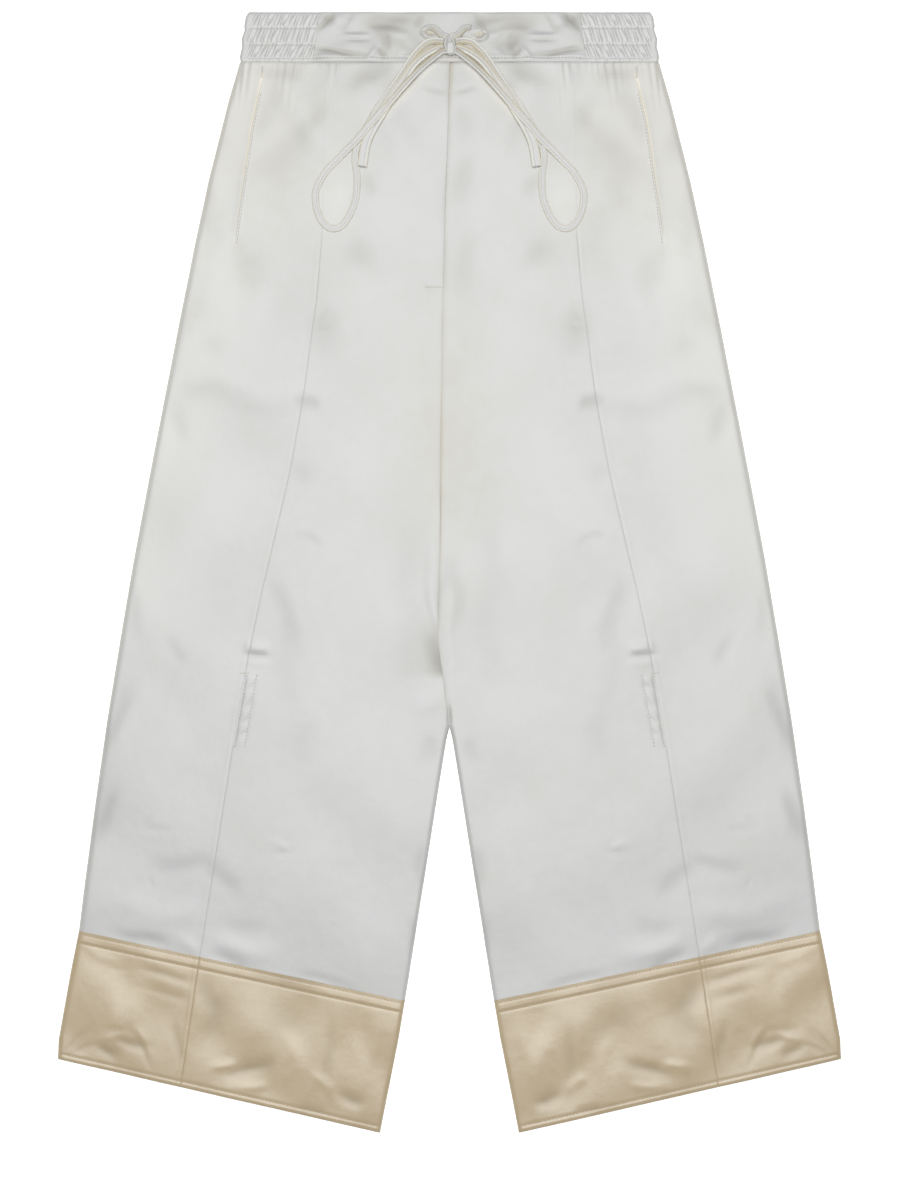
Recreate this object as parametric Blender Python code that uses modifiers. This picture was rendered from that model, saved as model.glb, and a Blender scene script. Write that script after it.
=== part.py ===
"""Drawstring trousers with wide cropped legs and contrast cuffs, laid flat on their back.

The waist points to +Y, the front faces +Z and the back rests on z = 0, with the origin in the
middle of the outline. Sizes are in millimetres until a point is placed. A place on the cloth is
given the way a maker measures it: how far out from the centre line, and how far below the top
of the waistband. The two legs mirror each other, apart from the fly and the crotch.
"""

import math

import bmesh
import bpy
import numpy as np
from mathutils import Vector

MM = 0.001

# Driving dimensions
LENGTH = 1009.0             # top of the waistband to the lowest corner of the hem
WAIST_DEPTH = 45.0          # waistband
FLY_LENGTH = 202.0          # below the waistband
FORK_BELOW = 643.5          # where the two legs part
SEAM_GAP = 0.3              # between neighbouring pieces
HALF_GAP = SEAM_GAP / 2

BACK_WALL = 1.2             # satin with its seams, front and back legs
BACK_INSET = 0.4            # the front rolls just past the back
FRONT_WALL = 1.2
FRONT_TOP = 4.4             # outer face of the front legs above the surface
FRONT_LOWEST = BACK_WALL + SEAM_GAP + FRONT_WALL
BAND_BACK_WALL = 2.0
BAND_FRONT_WALL = 2.2
BAND_TOP = 4.7
CUFF_WALL = 1.6
CUFF_TOP = 4.5

ELASTIC_HEIGHT = 5.0        # outer height of the gathered band, front and back together
ELASTIC_WALL = 2.0
ELASTIC_GATHERS = 18        # in one channel, on the front of one side
CHANNEL_DIP = 0.75          # how deep each stitched line pulls the band in
GATHER_RISE = 0.6
CHANNELS = 3

PANEL_GATHER_PITCH = 6.3    # small gathers let into the waistband seam
PANEL_GATHER_RISE = 0.6
PANEL_GATHER_REACH = 58.0   # they have faded out this far down
PANEL_GATHER_FROM = 94.0    # from the centre line
GATHER_SLANT = 0.12         # they lean outwards

CUFF_BORDER_WIDTH = 9.0     # folded edge at the top of the cuff
CUFF_BORDER_RISE = 0.5
SLIT_WIDTH = 1.6            # pocket mouth
FACING_WALL = 1.0           # the pocket cloth that shows in its mouth
FACING_BASE = BACK_WALL + SEAM_GAP
FACING_OUTWARDS, FACING_INWARDS = 2.5, 9.0
FACING_PAST_END = 3.5

CORD_DIAMETER = 3.4         # satin tube, pressed flat in wear
CORD_CLEARANCE = 0.5
CORD_LEVEL = CORD_DIAMETER + CORD_CLEARANCE
CORD_STEP = 12.0
ROOT_STEP = 4.0
KNOT_HALF_WIDTH = 4.5
KNOT_FROM, KNOT_TO = 19.8, 38.6
HOLE_OUT, HOLE_BELOW = 18.5, 15.3
HOLE_WIDTH, HOLE_HEIGHT = 12.0, 6.0

# Outline of a leg: below the waistband's top, half width from the centre line
SIDE_LINE = (
    (45, 188.9), (79, 198.9), (115, 207.9), (151, 216.9), (205, 228.6), (277, 243.0), (349, 257.0),
    (421, 270.9), (493, 284.4), (565, 296.6), (637, 308.3), (709, 318.6), (781, 328.1), (827, 333.8),
    (863, 341.0), (925, 352.0), (943, 352.8),
)
# Inner edge of a leg below the fork: below, distance from the centre line
INSEAM = (
    (643.5, 0.0), (655, 2.7), (691, 8.5), (763, 19.8), (799, 25.6), (871, 36.9), (925, 45.9),
    (961, 53.1), (1009, 62.5),
)
# Centre seam, which drifts a little: below, x
CENTRE_SEAM = (
    (45, 0.4), (151, -3.1), (247, -5.8), (349, -7.2), (493, -8.5), (565, -10.3), (610, -4.5),
    (643.5, 0.0),
)
# Seam down the middle of the leg front: below, distance from the centre line
LEG_SEAM = (
    (45, 112.0), (199, 114.8), (259, 120.0), (347, 132.0), (412, 143.6), (520, 168.8), (570, 179.6),
    (594, 184.0), (664, 195.8), (853, 225.5), (964, 241.7),
)
# Side of the gathered waistband: below, half width
BAND_SIDE = (
    (0, 181.0), (4, 183.6), (12, 185.0), (16, 184.6), (24, 187.4), (31, 186.9), (40, 189.0), (45, 188.2),
)
# Where the gathered side meets the plain middle: below, distance from the centre line
BAND_JOIN = ((0, 117.0), (45, 123.2))

# The bands that a leg is cut in: below at the side line and at the inner edge, first and last row
LEG_BAND = ((WAIST_DEPTH + HALF_GAP, WAIST_DEPTH + HALF_GAP), (827.0 - HALF_GAP, 890.0 - HALF_GAP))
CUFF_BAND = ((827.0 + HALF_GAP, 890.0 + HALF_GAP), (942.5, LENGTH))
CUFF_DEPTH = (CUFF_BAND[1][0] + CUFF_BAND[1][1] - CUFF_BAND[0][0] - CUFF_BAND[0][1]) / 2
# Rows of a cuff, as shares of its depth: the border's two rows come first
BORDER_ROW = CUFF_BORDER_WIDTH / CUFF_DEPTH
CUFF_ROWS = (0.0, BORDER_ROW, 1.12 * BORDER_ROW, 0.3, 0.5, 0.7, 0.85, 1.0)

# Pocket mouth: distance out and below, top and bottom end
POCKET_TOP = (170.0, 60.0)
POCKET_END = (194.0, 209.0)

# Folds of the front: leg (-1 left, 1 right, 0 both), from and to as out and below, width, height
FOLDS = (
    (0, (250.0, 324.0), (134.0, 347.0), 9.0, 1.3),
    (0, (238.0, 343.0), (134.0, 362.0), 10.0, -0.8),
    (0, (118.0, 93.0), (175.0, 160.0), 14.0, -0.9),
    (0, (150.0, 80.0), (196.0, 140.0), 12.0, 0.6),
    (0, (242.0, 288.0), (205.0, 306.0), 13.0, -0.7),
    (0, (90.0, 214.0), (117.0, 282.0), 12.0, -0.7),
    (0, (67.0, 57.0), (44.0, 80.0), 10.0, -0.5),
    (0, (126.0, 470.0), (152.0, 530.0), 10.0, -0.6),
    (0, (305.0, 655.0), (314.0, 718.0), 12.0, -0.6),
    (0, (186.0, 569.0), (162.0, 571.0), 5.0, 1.4),
    (0, (186.0, 578.0), (162.0, 580.0), 5.0, -0.9),
    (0, (184.0, 594.0), (196.0, 664.0), 5.0, -0.7),
    (-1, (26.0, 556.0), (7.0, 606.0), 9.0, -1.1),
    (-1, (13.0, 480.0), (13.0, 560.0), 6.0, 0.9),
    (1, (10.0, 560.0), (3.0, 630.0), 8.0, 0.7),
)
# Crumples in the plain middle of the waistband, with the same columns
BAND_FOLDS = (
    (0, (116.0, 35.0), (76.0, 38.0), 4.5, -0.5),
    (0, (98.0, 20.0), (90.0, 22.0), 7.0, 0.5),
    (0, (70.0, 41.0), (62.0, 40.0), 6.0, 0.5),
    (0, (40.0, 22.0), (34.0, 23.0), 7.0, 0.5),
    (0, (64.0, 8.0), (48.0, 26.0), 6.0, -0.4),
)

# Drawstring, one side. Each point: out from the centre line, below, level (1 lies over the others).
# The first point, and the loop's last, lie square to the knot's face
LOOP_ROUTE = (
    (4.9, 35.6, 0.0), (7.4, 36.2, 0.0), (16.2, 42.8, 0.0), (26.6, 51.8, 0.2), (34.7, 59.9, 0.7),
    (45.5, 72.0, 1.0), (55.4, 83.7, 1.0), (63.9, 93.6, 1.0), (72.9, 103.5, 1.0), (82.4, 114.7, 1.0),
    (92.8, 124.7, 0.6), (102.4, 134.5, 0.0), (109.9, 141.9, 0.0), (115.9, 150.9, 0.0), (119.6, 158.4, 0.0),
    (120.8, 165.8, 0.0), (120.3, 173.3, 0.0), (118.2, 181.4, 0.0), (114.4, 189.0, 0.0),
    (108.5, 194.1, 0.0), (102.4, 194.9, 0.0), (96.5, 192.0, 0.0), (91.4, 185.2, 0.0),
    (87.6, 177.8, 0.0), (84.5, 168.8, 0.0), (83.4, 159.1, 0.0), (83.1, 149.4, 0.0),
    (84.2, 140.4, 0.0), (85.0, 133.0, 0.0), (84.5, 125.6, 0.0), (82.4, 118.1, 0.0),
    (75.6, 105.3, 0.0), (64.4, 86.0, 0.0), (50.4, 66.6, 0.0), (43.7, 56.7, 0.0), (34.7, 43.2, 0.0),
    (29.7, 36.5, 0.0), (20.3, 27.9, 0.0), (12.2, 26.3, 0.0), (7.4, 27.0, 0.0),
    (4.9, 27.2, 0.0),
)
TAIL_ROUTE = (
    (4.9, 31.4, 0.0), (7.4, 31.6, 0.0), (15.8, 34.7, 0.0), (25.7, 41.0, 0.0), (34.2, 49.5, 0.0),
    (41.9, 61.2, 0.0), (51.8, 76.5, 0.0), (60.8, 91.4, 0.0), (68.9, 104.4, 0.0), (75.2, 118.8, 0.0),
    (78.8, 139.5, 0.0),
)
# The root dives into its buttonhole, so its last level is below the cloth's face
ROOT_ROUTE = (
    (4.9, 22.4, 0.0), (7.4, 21.8, 0.0), (10.5, 18.6, 0.1), (13.5, 16.2, 0.1), (17.0, 15.4, -0.25),
    (21.0, 15.3, -0.7),
)

IVORY = (0.83, 0.83, 0.81)
CHAMPAGNE = (0.62, 0.52, 0.37)
SIDES = (("left", -1), ("right", 1))


def empty_the_scene():
    for item in list(bpy.data.objects):
        bpy.data.objects.remove(item, do_unlink=True)


def new_collection(name):
    collection = bpy.data.collections.new(name)
    bpy.context.scene.collection.children.link(collection)
    return collection


def satin(name, colour, roughness):
    material = bpy.data.materials.new(name)
    material.use_nodes = True
    shader = material.node_tree.nodes["Principled BSDF"]
    shader.inputs["Base Color"].default_value = (*colour, 1.0)
    shader.inputs["Roughness"].default_value = roughness
    shader.inputs["Metallic"].default_value = 0.0
    return material


def reading(rows, below):
    """The value of a two-column table at a distance below the waist."""
    return float(np.interp(below, [row[0] for row in rows], [row[1] for row in rows]))


def mix(start, end, share):
    return start + (end - start) * share


def bell(distance, width):
    return math.exp(-(distance / width) ** 2)


def distance_to_line(point, start, end):
    """Shortest distance from a point to a straight stretch, both in the plane of the cloth."""
    point, start, end = (np.array(place, dtype=float) for place in (point, start, end))
    run = end - start
    share = float(np.clip(np.dot(point - start, run) / np.dot(run, run), 0.0, 1.0))
    return float(np.linalg.norm(point - start - run * share))


def fold_height(table, side, out, below):
    total = 0.0
    for leg, start, end, width, height in table:
        if leg in (0, side):
            total += height * bell(distance_to_line((out, below), start, end), width)
    return total


def inner_edge(side, below):
    """Distance of a leg's inner edge from the centre line: the centre seam, then the inseam."""
    if below < FORK_BELOW:
        return side * reading(CENTRE_SEAM, below)
    return reading(INSEAM, below)


def leg_place(side, band, across, down):
    """Where a point of a leg lies: across is 0 at the side, 1 at the leg seam, 2 at the inner edge."""
    (side_start, inner_start), (side_end, inner_end) = band
    outer_below = mix(side_start, side_end, down)
    inner_below = mix(inner_start, inner_end, down)
    outer = reading(SIDE_LINE, outer_below)
    inner = inner_edge(side, inner_below)
    share = 0.5
    for _ in range(4):
        seam = reading(LEG_SEAM, mix(outer_below, inner_below, share))
        share = (outer - seam) / (outer - inner)
    if across < 1.0:
        position = across * share
    else:
        position = share + (across - 1.0) * (1.0 - share)
    return mix(outer, inner, position), mix(outer_below, inner_below, position)


def panel_gathers(out, below):
    """Small gathers under the waistband: their height on the outer face, fading out downwards."""
    if out < PANEL_GATHER_FROM - PANEL_GATHER_PITCH or below > WAIST_DEPTH + PANEL_GATHER_REACH:
        return 0.0
    start = min(max(out - PANEL_GATHER_FROM, 0.0) / PANEL_GATHER_PITCH, 1.0)
    fade = 1.0 - (below - WAIST_DEPTH) / PANEL_GATHER_REACH
    wave = math.cos(2 * math.pi * (out - GATHER_SLANT * (below - WAIST_DEPTH)) / PANEL_GATHER_PITCH)
    return PANEL_GATHER_RISE * start * fade ** 1.5 * wave


def front_height(side, out, below):
    """Height of the outer face of a front leg above the surface, before its gathers."""
    height = FRONT_TOP + fold_height(FOLDS, side, out, below)
    from_side = max(reading(SIDE_LINE, below) - out, 0.0)
    roll = mix(10.0, 4.5, min(below / 420.0, 1.0))
    height -= (FRONT_TOP - FRONT_LOWEST) * math.exp(-from_side / roll)
    from_inner = max(out - inner_edge(side, below), 0.0)
    if below > FORK_BELOW:
        height -= (FRONT_TOP - FRONT_LOWEST) * math.exp(-from_inner / 4.5)
    elif below < WAIST_DEPTH + FLY_LENGTH:
        height -= side * 0.5 * math.exp(-from_inner / 6.0)
    else:
        height -= 0.4 * math.exp(-from_inner / 4.0)
    height -= 0.5 * math.exp(-abs(out - reading(LEG_SEAM, below)) / 3.0)
    return max(height, FRONT_LOWEST)


def band_height(out, below):
    """Height of the outer face of the plain waistband."""
    edge = min(below, WAIST_DEPTH - below)
    return BAND_TOP + fold_height(BAND_FOLDS, 0, abs(out), below) - 0.9 * math.exp(-max(edge, 0.0) / 2.0)


def cloth_top(side, out, below):
    if below < WAIST_DEPTH:
        return band_height(out, below)
    return front_height(side, out, below) + panel_gathers(out, below)


def world(x, below, height):
    return Vector((x, LENGTH / 2 - below, height)) * MM


def cloth_wall(name, columns, rows, place, material, collection, finer=()):
    """A closed wall of cloth. place(across, down, outer) gives a point; outer is True on its outer face.

    finer holds (choice, cuts): the edges of the outer face that choice(across, down, along) picks
    are cut again, where along is True on an edge that runs across the cloth.
    """
    bm = bmesh.new()
    bmesh.ops.create_grid(bm, x_segments=columns, y_segments=rows, size=0.5)
    bmesh.ops.translate(bm, verts=bm.verts, vec=(0.5, 0.5, 0.0))
    result = bmesh.ops.extrude_face_region(bm, geom=bm.faces[:])
    outer = [part for part in result["geom"] if isinstance(part, bmesh.types.BMVert)]
    bmesh.ops.translate(bm, verts=outer, vec=(0.0, 0.0, 1.0))
    bmesh.ops.recalc_face_normals(bm, faces=bm.faces)
    for choice, cuts in finer:
        chosen = []
        for edge in bm.edges:
            start, end = (vert.co for vert in edge.verts)
            if start.z > 0.5 and end.z > 0.5:
                middle = (start + end) / 2
                if choice(middle.x, middle.y, abs(start.x - end.x) > abs(start.y - end.y)):
                    chosen.append(edge)
        bmesh.ops.subdivide_edges(bm, edges=chosen, cuts=cuts, use_grid_fill=True)
    for vert in bm.verts:
        vert.co = place(vert.co.x, vert.co.y, vert.co.z > 0.5)
    if bm.calc_volume(signed=True) < 0.0:
        bmesh.ops.reverse_faces(bm, faces=bm.faces)
    mesh = bpy.data.meshes.new(name)
    bm.to_mesh(mesh)
    bm.free()
    mesh.shade_smooth()
    mesh.set_sharp_from_angle(angle=math.radians(50))
    mesh.materials.append(material)
    piece = bpy.data.objects.new(name, mesh)
    collection.objects.link(piece)
    return piece


def spaced(share):
    """Columns that lie closer together near both edges of a panel."""
    return 0.5 * share + 0.25 * (1.0 - math.cos(math.pi * share))


def leg_stretch(side, band, first, last, share, down):
    """A point between two of a leg's lines, half a seam gap inside each of them."""
    left_out, _ = leg_place(side, band, first, down)
    right_out, _ = leg_place(side, band, last, down)
    margin = HALF_GAP / abs(left_out - right_out)
    inside = mix(margin, 1.0 - margin, share)
    if first == 0 and last == 2:
        full = leg_place(side, band, 0, down)
        inner = leg_place(side, band, 2, down)
        return mix(full[0], inner[0], inside), mix(full[1], inner[1], inside)
    return leg_place(side, band, mix(first, last, inside), down)


def front_panel(name, side, first, last, columns, rows, material, collection, finer):
    def place(across, down, outer):
        out, below = leg_stretch(side, LEG_BAND, first, last, spaced(across), down)
        height = front_height(side, out, below)
        if outer:
            return world(side * out, below, max(height + panel_gathers(out, below), FRONT_LOWEST))
        return world(side * out, below, height - FRONT_WALL)

    return cloth_wall(name, columns, rows, place, material, collection, finer)


def front_legs(material, collection):
    pieces = {}
    top_share = PANEL_GATHER_REACH / (LEG_BAND[1][0] - LEG_BAND[0][0])
    tuck_from, tuck_to = 0.64, 0.72
    for word, side in SIDES:
        outer_finer = (
            (lambda across, down, along: along and down < top_share * 1.05, 6),
            (lambda across, down, along: tuck_from < down < tuck_to and across > 0.8, 2),
        )
        inner_finer = (
            (lambda across, down, along: along and down < top_share * 1.05 and across < 0.2, 5),
            (lambda across, down, along: tuck_from < down < tuck_to and across < 0.22, 2),
        )
        pieces["outer", side] = front_panel(
            "front_outer_" + word, side, 0, 1, 8, 26, material, collection, outer_finer)
        pieces["inner", side] = front_panel(
            "front_inner_" + word, side, 1, 2, 10, 26, material, collection, inner_finer)
    return pieces


def flat_leg(name, side, band, thickness, columns, rows, material, collection):
    """A back piece: a flat wall that rests on the surface, a little inside the front's outline."""
    def place(across, down, outer):
        out, below = leg_stretch(side, band, 0, 2, across, down)
        if across == 0.0:
            out -= BACK_INSET
        elif across == 1.0 and below > FORK_BELOW:
            out += BACK_INSET
        return world(side * out, below, thickness if outer else 0.0)

    return cloth_wall(name, columns, rows, place, material, collection)


def cuff_height(side, out, below, down):
    """Height of the outer face of a cuff, with its folded border along the top."""
    on_border = down * CUFF_DEPTH < CUFF_BORDER_WIDTH * 1.01
    height = CUFF_TOP + (CUFF_BORDER_RISE if on_border else 0.0)
    from_side = max(reading(SIDE_LINE, below) - out, 0.0)
    from_inner = max(out - inner_edge(side, below), 0.0)
    lowest = CUFF_WALL + SEAM_GAP + CUFF_WALL
    height -= (CUFF_TOP - lowest) * (math.exp(-from_side / 4.0) + math.exp(-from_inner / 4.0))
    height -= 0.4 * math.exp(-abs(out - reading(LEG_SEAM, below)) / 2.5)
    return max(height, lowest)


def cuff_front(name, side, first, last, material, collection):
    rows = len(CUFF_ROWS) - 1

    def place(across, down, outer):
        row = CUFF_ROWS[round(down * rows)]
        out, below = leg_stretch(side, CUFF_BAND, first, last, spaced(across), row)
        height = cuff_height(side, out, below, row)
        plain = min(height, CUFF_TOP) - CUFF_WALL
        return world(side * out, below, height if outer else plain)

    return cloth_wall(name, 6, rows, place, material, collection)


def waistband_middle(material, collection):
    def front(across, down, outer):
        below = down * (WAIST_DEPTH - HALF_GAP)
        out = mix(-1.0, 1.0, across) * (reading(BAND_JOIN, below) - HALF_GAP)
        height = band_height(out, below) if outer else BAND_TOP - BAND_FRONT_WALL
        return world(out, below, height)

    def back(across, down, outer):
        below = down * (WAIST_DEPTH - HALF_GAP)
        out = mix(-1.0, 1.0, across) * (reading(BAND_JOIN, below) - HALF_GAP)
        return world(out, below, BAND_BACK_WALL if outer else 0.0)

    piece = cloth_wall("waistband_front", 34, 6, front, material, collection)
    cloth_wall("waistband_back", 2, 2, back, material, collection)
    return piece


def elastic_side(word, side, material, collection):
    """The gathered side of the waistband: a wall that turns round the side, puffed between channels."""
    turn_columns, back_columns, channel_rows = 5, 2, 3
    columns = ELASTIC_GATHERS + turn_columns + back_columns
    rows = CHANNELS * channel_rows
    radius = ELASTIC_HEIGHT / 2

    def place(across, down, outer):
        below = down * (WAIST_DEPTH - HALF_GAP)
        join = reading(BAND_JOIN, below) + HALF_GAP
        turn_start = reading(BAND_SIDE, below) - radius
        column = across * columns
        depth = radius if outer else radius - ELASTIC_WALL
        in_channel = (down * CHANNELS) % 1.0
        puff = math.sin(math.pi * in_channel)
        if column <= ELASTIC_GATHERS + 1e-6:
            share = column / ELASTIC_GATHERS
            out = mix(join, turn_start, share)
            height = radius + depth
            if outer:
                fade = min((1.0 - share) * 6.0, 1.0)
                wave = math.cos(2 * math.pi * (column - 0.35 * in_channel))
                height += fade * (CHANNEL_DIP * (puff - 0.8) + GATHER_RISE * (0.35 + 0.65 * puff) * wave)
        elif column < ELASTIC_GATHERS + turn_columns - 1e-6:
            angle = math.pi * (0.5 - (column - ELASTIC_GATHERS) / turn_columns)
            out = turn_start + depth * math.cos(angle)
            height = radius + depth * math.sin(angle)
        else:
            share = (column - ELASTIC_GATHERS - turn_columns) / back_columns
            out = mix(turn_start, join, share)
            height = radius - depth
        return world(side * out, below, height)

    front_share = ELASTIC_GATHERS / columns
    finer = ((lambda across, down, along: along and across < front_share, 2),)
    return cloth_wall("waistband_elastic_" + word, columns, rows, place, material, collection, finer)


def cutter_box(name, top, bottom, low, high, collection):
    """A straight-sided cutter. top and bottom are its two ends: middle x, below and half width."""
    bm = bmesh.new()
    bmesh.ops.create_cube(bm, size=1.0)
    for vert in bm.verts:
        x, below, half = top if vert.co.y > 0 else bottom
        vert.co = world(x + math.copysign(half, vert.co.x), below, high if vert.co.z > 0 else low)
    mesh = bpy.data.meshes.new(name)
    bm.to_mesh(mesh)
    bm.free()
    cutter = bpy.data.objects.new(name, mesh)
    cutter.hide_render = True
    cutter.display_type = "WIRE"
    collection.objects.link(cutter)
    return cutter


def cut(piece, cutter):
    modifier = piece.modifiers.new("cut", "BOOLEAN")
    modifier.operation = "DIFFERENCE"
    modifier.solver = "EXACT"
    modifier.object = cutter


def pocket_mouths(fronts, material, collection, cutters):
    for word, side in SIDES:
        top_out, top_below = POCKET_TOP
        end_out, end_below = POCKET_END
        top = (side * top_out, top_below, SLIT_WIDTH / 2)
        end = (side * end_out, end_below, SLIT_WIDTH / 3)
        cutter = cutter_box("pocket_slit_" + word, top, end, BACK_WALL + SEAM_GAP, 9.0, cutters)
        cut(fronts["outer", side], cutter)

        def place(across, down, outer):
            out = mix(top_out, end_out, down) + mix(FACING_OUTWARDS, -FACING_INWARDS, across)
            below = mix(top_below - FACING_PAST_END, end_below + FACING_PAST_END, down)
            return world(side * out, below, FACING_BASE + (FACING_WALL if outer else 0.0))

        cloth_wall("pocket_facing_" + word, 2, 8, place, material, collection)


def smooth_route(route, step):
    """Evenly spaced points on a smooth curve through a route's own points."""
    points = [np.array(point, dtype=float) for point in route]
    points = [2 * points[0] - points[1]] + points + [2 * points[-1] - points[-2]]
    fine = []
    for before, start, end, after in zip(points, points[1:], points[2:], points[3:]):
        for share in np.linspace(0.0, 1.0, 12, endpoint=False):
            fine.append(0.5 * (2 * start + (end - before) * share
                               + (2 * before - 5 * start + 4 * end - after) * share ** 2
                               + (3 * start - before - 3 * end + after) * share ** 3))
    fine.append(points[-2])
    fine = np.array(fine)
    lengths = np.concatenate([[0.0], np.cumsum(np.linalg.norm(np.diff(fine[:, :2], axis=0), axis=1))])
    count = max(3, round(lengths[-1] / step) + 1)
    even = np.linspace(0.0, lengths[-1], count)
    return np.stack([np.interp(even, lengths, fine[:, axis]) for axis in range(3)], axis=1)


def cord_height(side, out, below, level):
    """Height of the cord's middle: just clear of the highest cloth under it."""
    reach = CORD_DIAMETER * 0.8
    highest = max(cloth_top(side, out + dx, below + dy)
                  for dx in (-reach, 0.0, reach) for dy in (-reach, 0.0, reach))
    return highest + CORD_CLEARANCE + CORD_DIAMETER / 2 + level * CORD_LEVEL


def cord(name, side, route, square_ends, step, material, collection):
    curve = bpy.data.curves.new(name, "CURVE")
    curve.dimensions = "3D"
    curve.bevel_depth = CORD_DIAMETER / 2 * MM
    curve.bevel_resolution = 2
    curve.use_fill_caps = True
    spline = curve.splines.new("POLY")
    places = [route[0], *smooth_route(route[1:len(route) - square_ends + 1], step)]
    if square_ends == 2:
        places.append(route[-1])
    spline.points.add(len(places) - 1)
    for point, (out, below, level) in zip(spline.points, places):
        point.co = (*world(side * out, below, cord_height(side, out, below, level)), 1.0)
    curve.materials.append(material)
    piece = bpy.data.objects.new(name, curve)
    collection.objects.link(piece)
    return piece


def knot(material, collection):
    """The bow's knot: a pillow of satin with flat ends where the strands go in."""
    low = BAND_TOP + CORD_CLEARANCE
    high = low + CORD_DIAMETER + 2.6
    bm = bmesh.new()
    bmesh.ops.create_cube(bm, size=1.0)
    for vert in bm.verts:
        below = KNOT_TO if vert.co.y < 0 else KNOT_FROM
        vert.co = world(math.copysign(KNOT_HALF_WIDTH, vert.co.x), below, high if vert.co.z > 0 else low)
    mesh = bpy.data.meshes.new("drawstring_knot")
    bm.to_mesh(mesh)
    bm.free()
    mesh.materials.append(material)
    piece = bpy.data.objects.new("drawstring_knot", mesh)
    collection.objects.link(piece)
    rounding = piece.modifiers.new("rounding", "BEVEL")
    rounding.width = 1.6 * MM
    rounding.segments = 2
    return piece


def buttonholes(band, cutters):
    for word, side in SIDES:
        x = side * HOLE_OUT
        top = (x, HOLE_BELOW - HOLE_HEIGHT / 2, HOLE_WIDTH / 2)
        bottom = (x, HOLE_BELOW + HOLE_HEIGHT / 2, HOLE_WIDTH / 2)
        cut(band, cutter_box("buttonhole_" + word, top, bottom, BAND_BACK_WALL + 0.1, 9.0, cutters))


def build():
    empty_the_scene()
    trousers = new_collection("drawstring_trousers")
    cutters = new_collection("cutters")
    ivory = satin("ivory_satin", IVORY, 0.4)
    champagne = satin("champagne_satin", CHAMPAGNE, 0.35)

    fronts = front_legs(ivory, trousers)
    pocket_mouths(fronts, ivory, trousers, cutters)
    for word, side in SIDES:
        flat_leg("back_" + word, side, LEG_BAND, BACK_WALL, 4, 26, ivory, trousers)
        flat_leg("cuff_back_" + word, side, CUFF_BAND, CUFF_WALL, 4, 5, champagne, trousers)
        cuff_front("cuff_outer_" + word, side, 0, 1, champagne, trousers)
        cuff_front("cuff_inner_" + word, side, 1, 2, champagne, trousers)
        elastic_side(word, side, ivory, trousers)
    band = waistband_middle(ivory, trousers)
    buttonholes(band, cutters)

    knot(ivory, trousers)
    for word, side in SIDES:
        cord("drawstring_root_" + word, side, ROOT_ROUTE, 1, ROOT_STEP, ivory, trousers)
        cord("drawstring_loop_" + word, side, LOOP_ROUTE, 2, CORD_STEP, ivory, trousers)
        cord("drawstring_tail_" + word, side, TAIL_ROUTE, 1, CORD_STEP, ivory, trousers)


build()
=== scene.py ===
# %% [markdown]
# # Drawstring trousers in satin, laid flat
# The real trousers are off-white satin with champagne cuffs. They lie on their back, so every
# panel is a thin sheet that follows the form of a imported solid. The solids give the place, the
# size and the largest folds, and this file makes the cloth, its creases, the tape and the sewing.

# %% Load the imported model
import math

import bmesh
import bpy
import numpy as np
from mathutils import Matrix, Vector


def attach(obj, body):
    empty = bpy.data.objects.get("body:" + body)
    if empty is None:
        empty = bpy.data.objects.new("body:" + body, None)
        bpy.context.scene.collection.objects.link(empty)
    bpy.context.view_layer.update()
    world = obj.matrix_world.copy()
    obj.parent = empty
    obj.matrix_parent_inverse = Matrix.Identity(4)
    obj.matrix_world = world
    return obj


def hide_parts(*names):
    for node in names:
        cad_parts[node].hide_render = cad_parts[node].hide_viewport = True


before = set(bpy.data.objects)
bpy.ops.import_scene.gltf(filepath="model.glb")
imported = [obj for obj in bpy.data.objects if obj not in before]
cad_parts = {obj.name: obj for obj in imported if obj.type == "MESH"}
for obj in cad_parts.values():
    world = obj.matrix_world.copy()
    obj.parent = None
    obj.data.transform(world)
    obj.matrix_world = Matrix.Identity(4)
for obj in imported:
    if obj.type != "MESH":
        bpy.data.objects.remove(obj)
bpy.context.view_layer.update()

MM = 0.001
SIDES = (("left", -1), ("right", 1))

# %% [markdown]
# ## The camera
# The photograph looks straight down on the cloth. A long lens from three metres up keeps the
# edges parallel, and one pixel of the 900 by 1200 picture shows 0.9 mm of cloth.

# %% Camera above the cloth
PIXEL = 0.9
PHOTO_WIDTH, PHOTO_HEIGHT = 900, 1200
ORIGIN_PIXEL = (449.5, 572.5)
CAMERA_ABOVE = 3000.0
CLOTH_LEVEL = 4.8
FILM = 36.0

camera_data = bpy.data.cameras.new("camera")
camera_data.sensor_width = FILM
camera_data.lens = FILM * CAMERA_ABOVE / (PHOTO_HEIGHT * PIXEL)
camera = bpy.data.objects.new("camera", camera_data)
camera.location = (
    (PHOTO_WIDTH / 2 - ORIGIN_PIXEL[0]) * PIXEL * MM,
    (ORIGIN_PIXEL[1] - PHOTO_HEIGHT / 2) * PIXEL * MM,
    (CAMERA_ABOVE + CLOTH_LEVEL) * MM,
)
bpy.context.scene.collection.objects.link(camera)
bpy.context.scene.camera = camera
print("The lens is", round(camera_data.lens), "mm")

# %% [markdown]
# ## Where the cloth lies
# A maker measures a garment by how far a point is out from the centre line and how far below
# the top of the waistband. These short tables say so for the outline and the seams, in
# millimetres, and everything that is sewn to a panel reads the same tables.

# %% Outline and seams
LENGTH = 1009.0
WAIST_DEPTH = 45.0
FLY_LENGTH = 202.0
FORK_BELOW = 643.5
HALF_GAP = 0.02


def rows_of(text):
    """A table of numbers. A semicolon ends each row."""
    return tuple(tuple(float(number) for number in row.split()) for row in text.split(";"))


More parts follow.
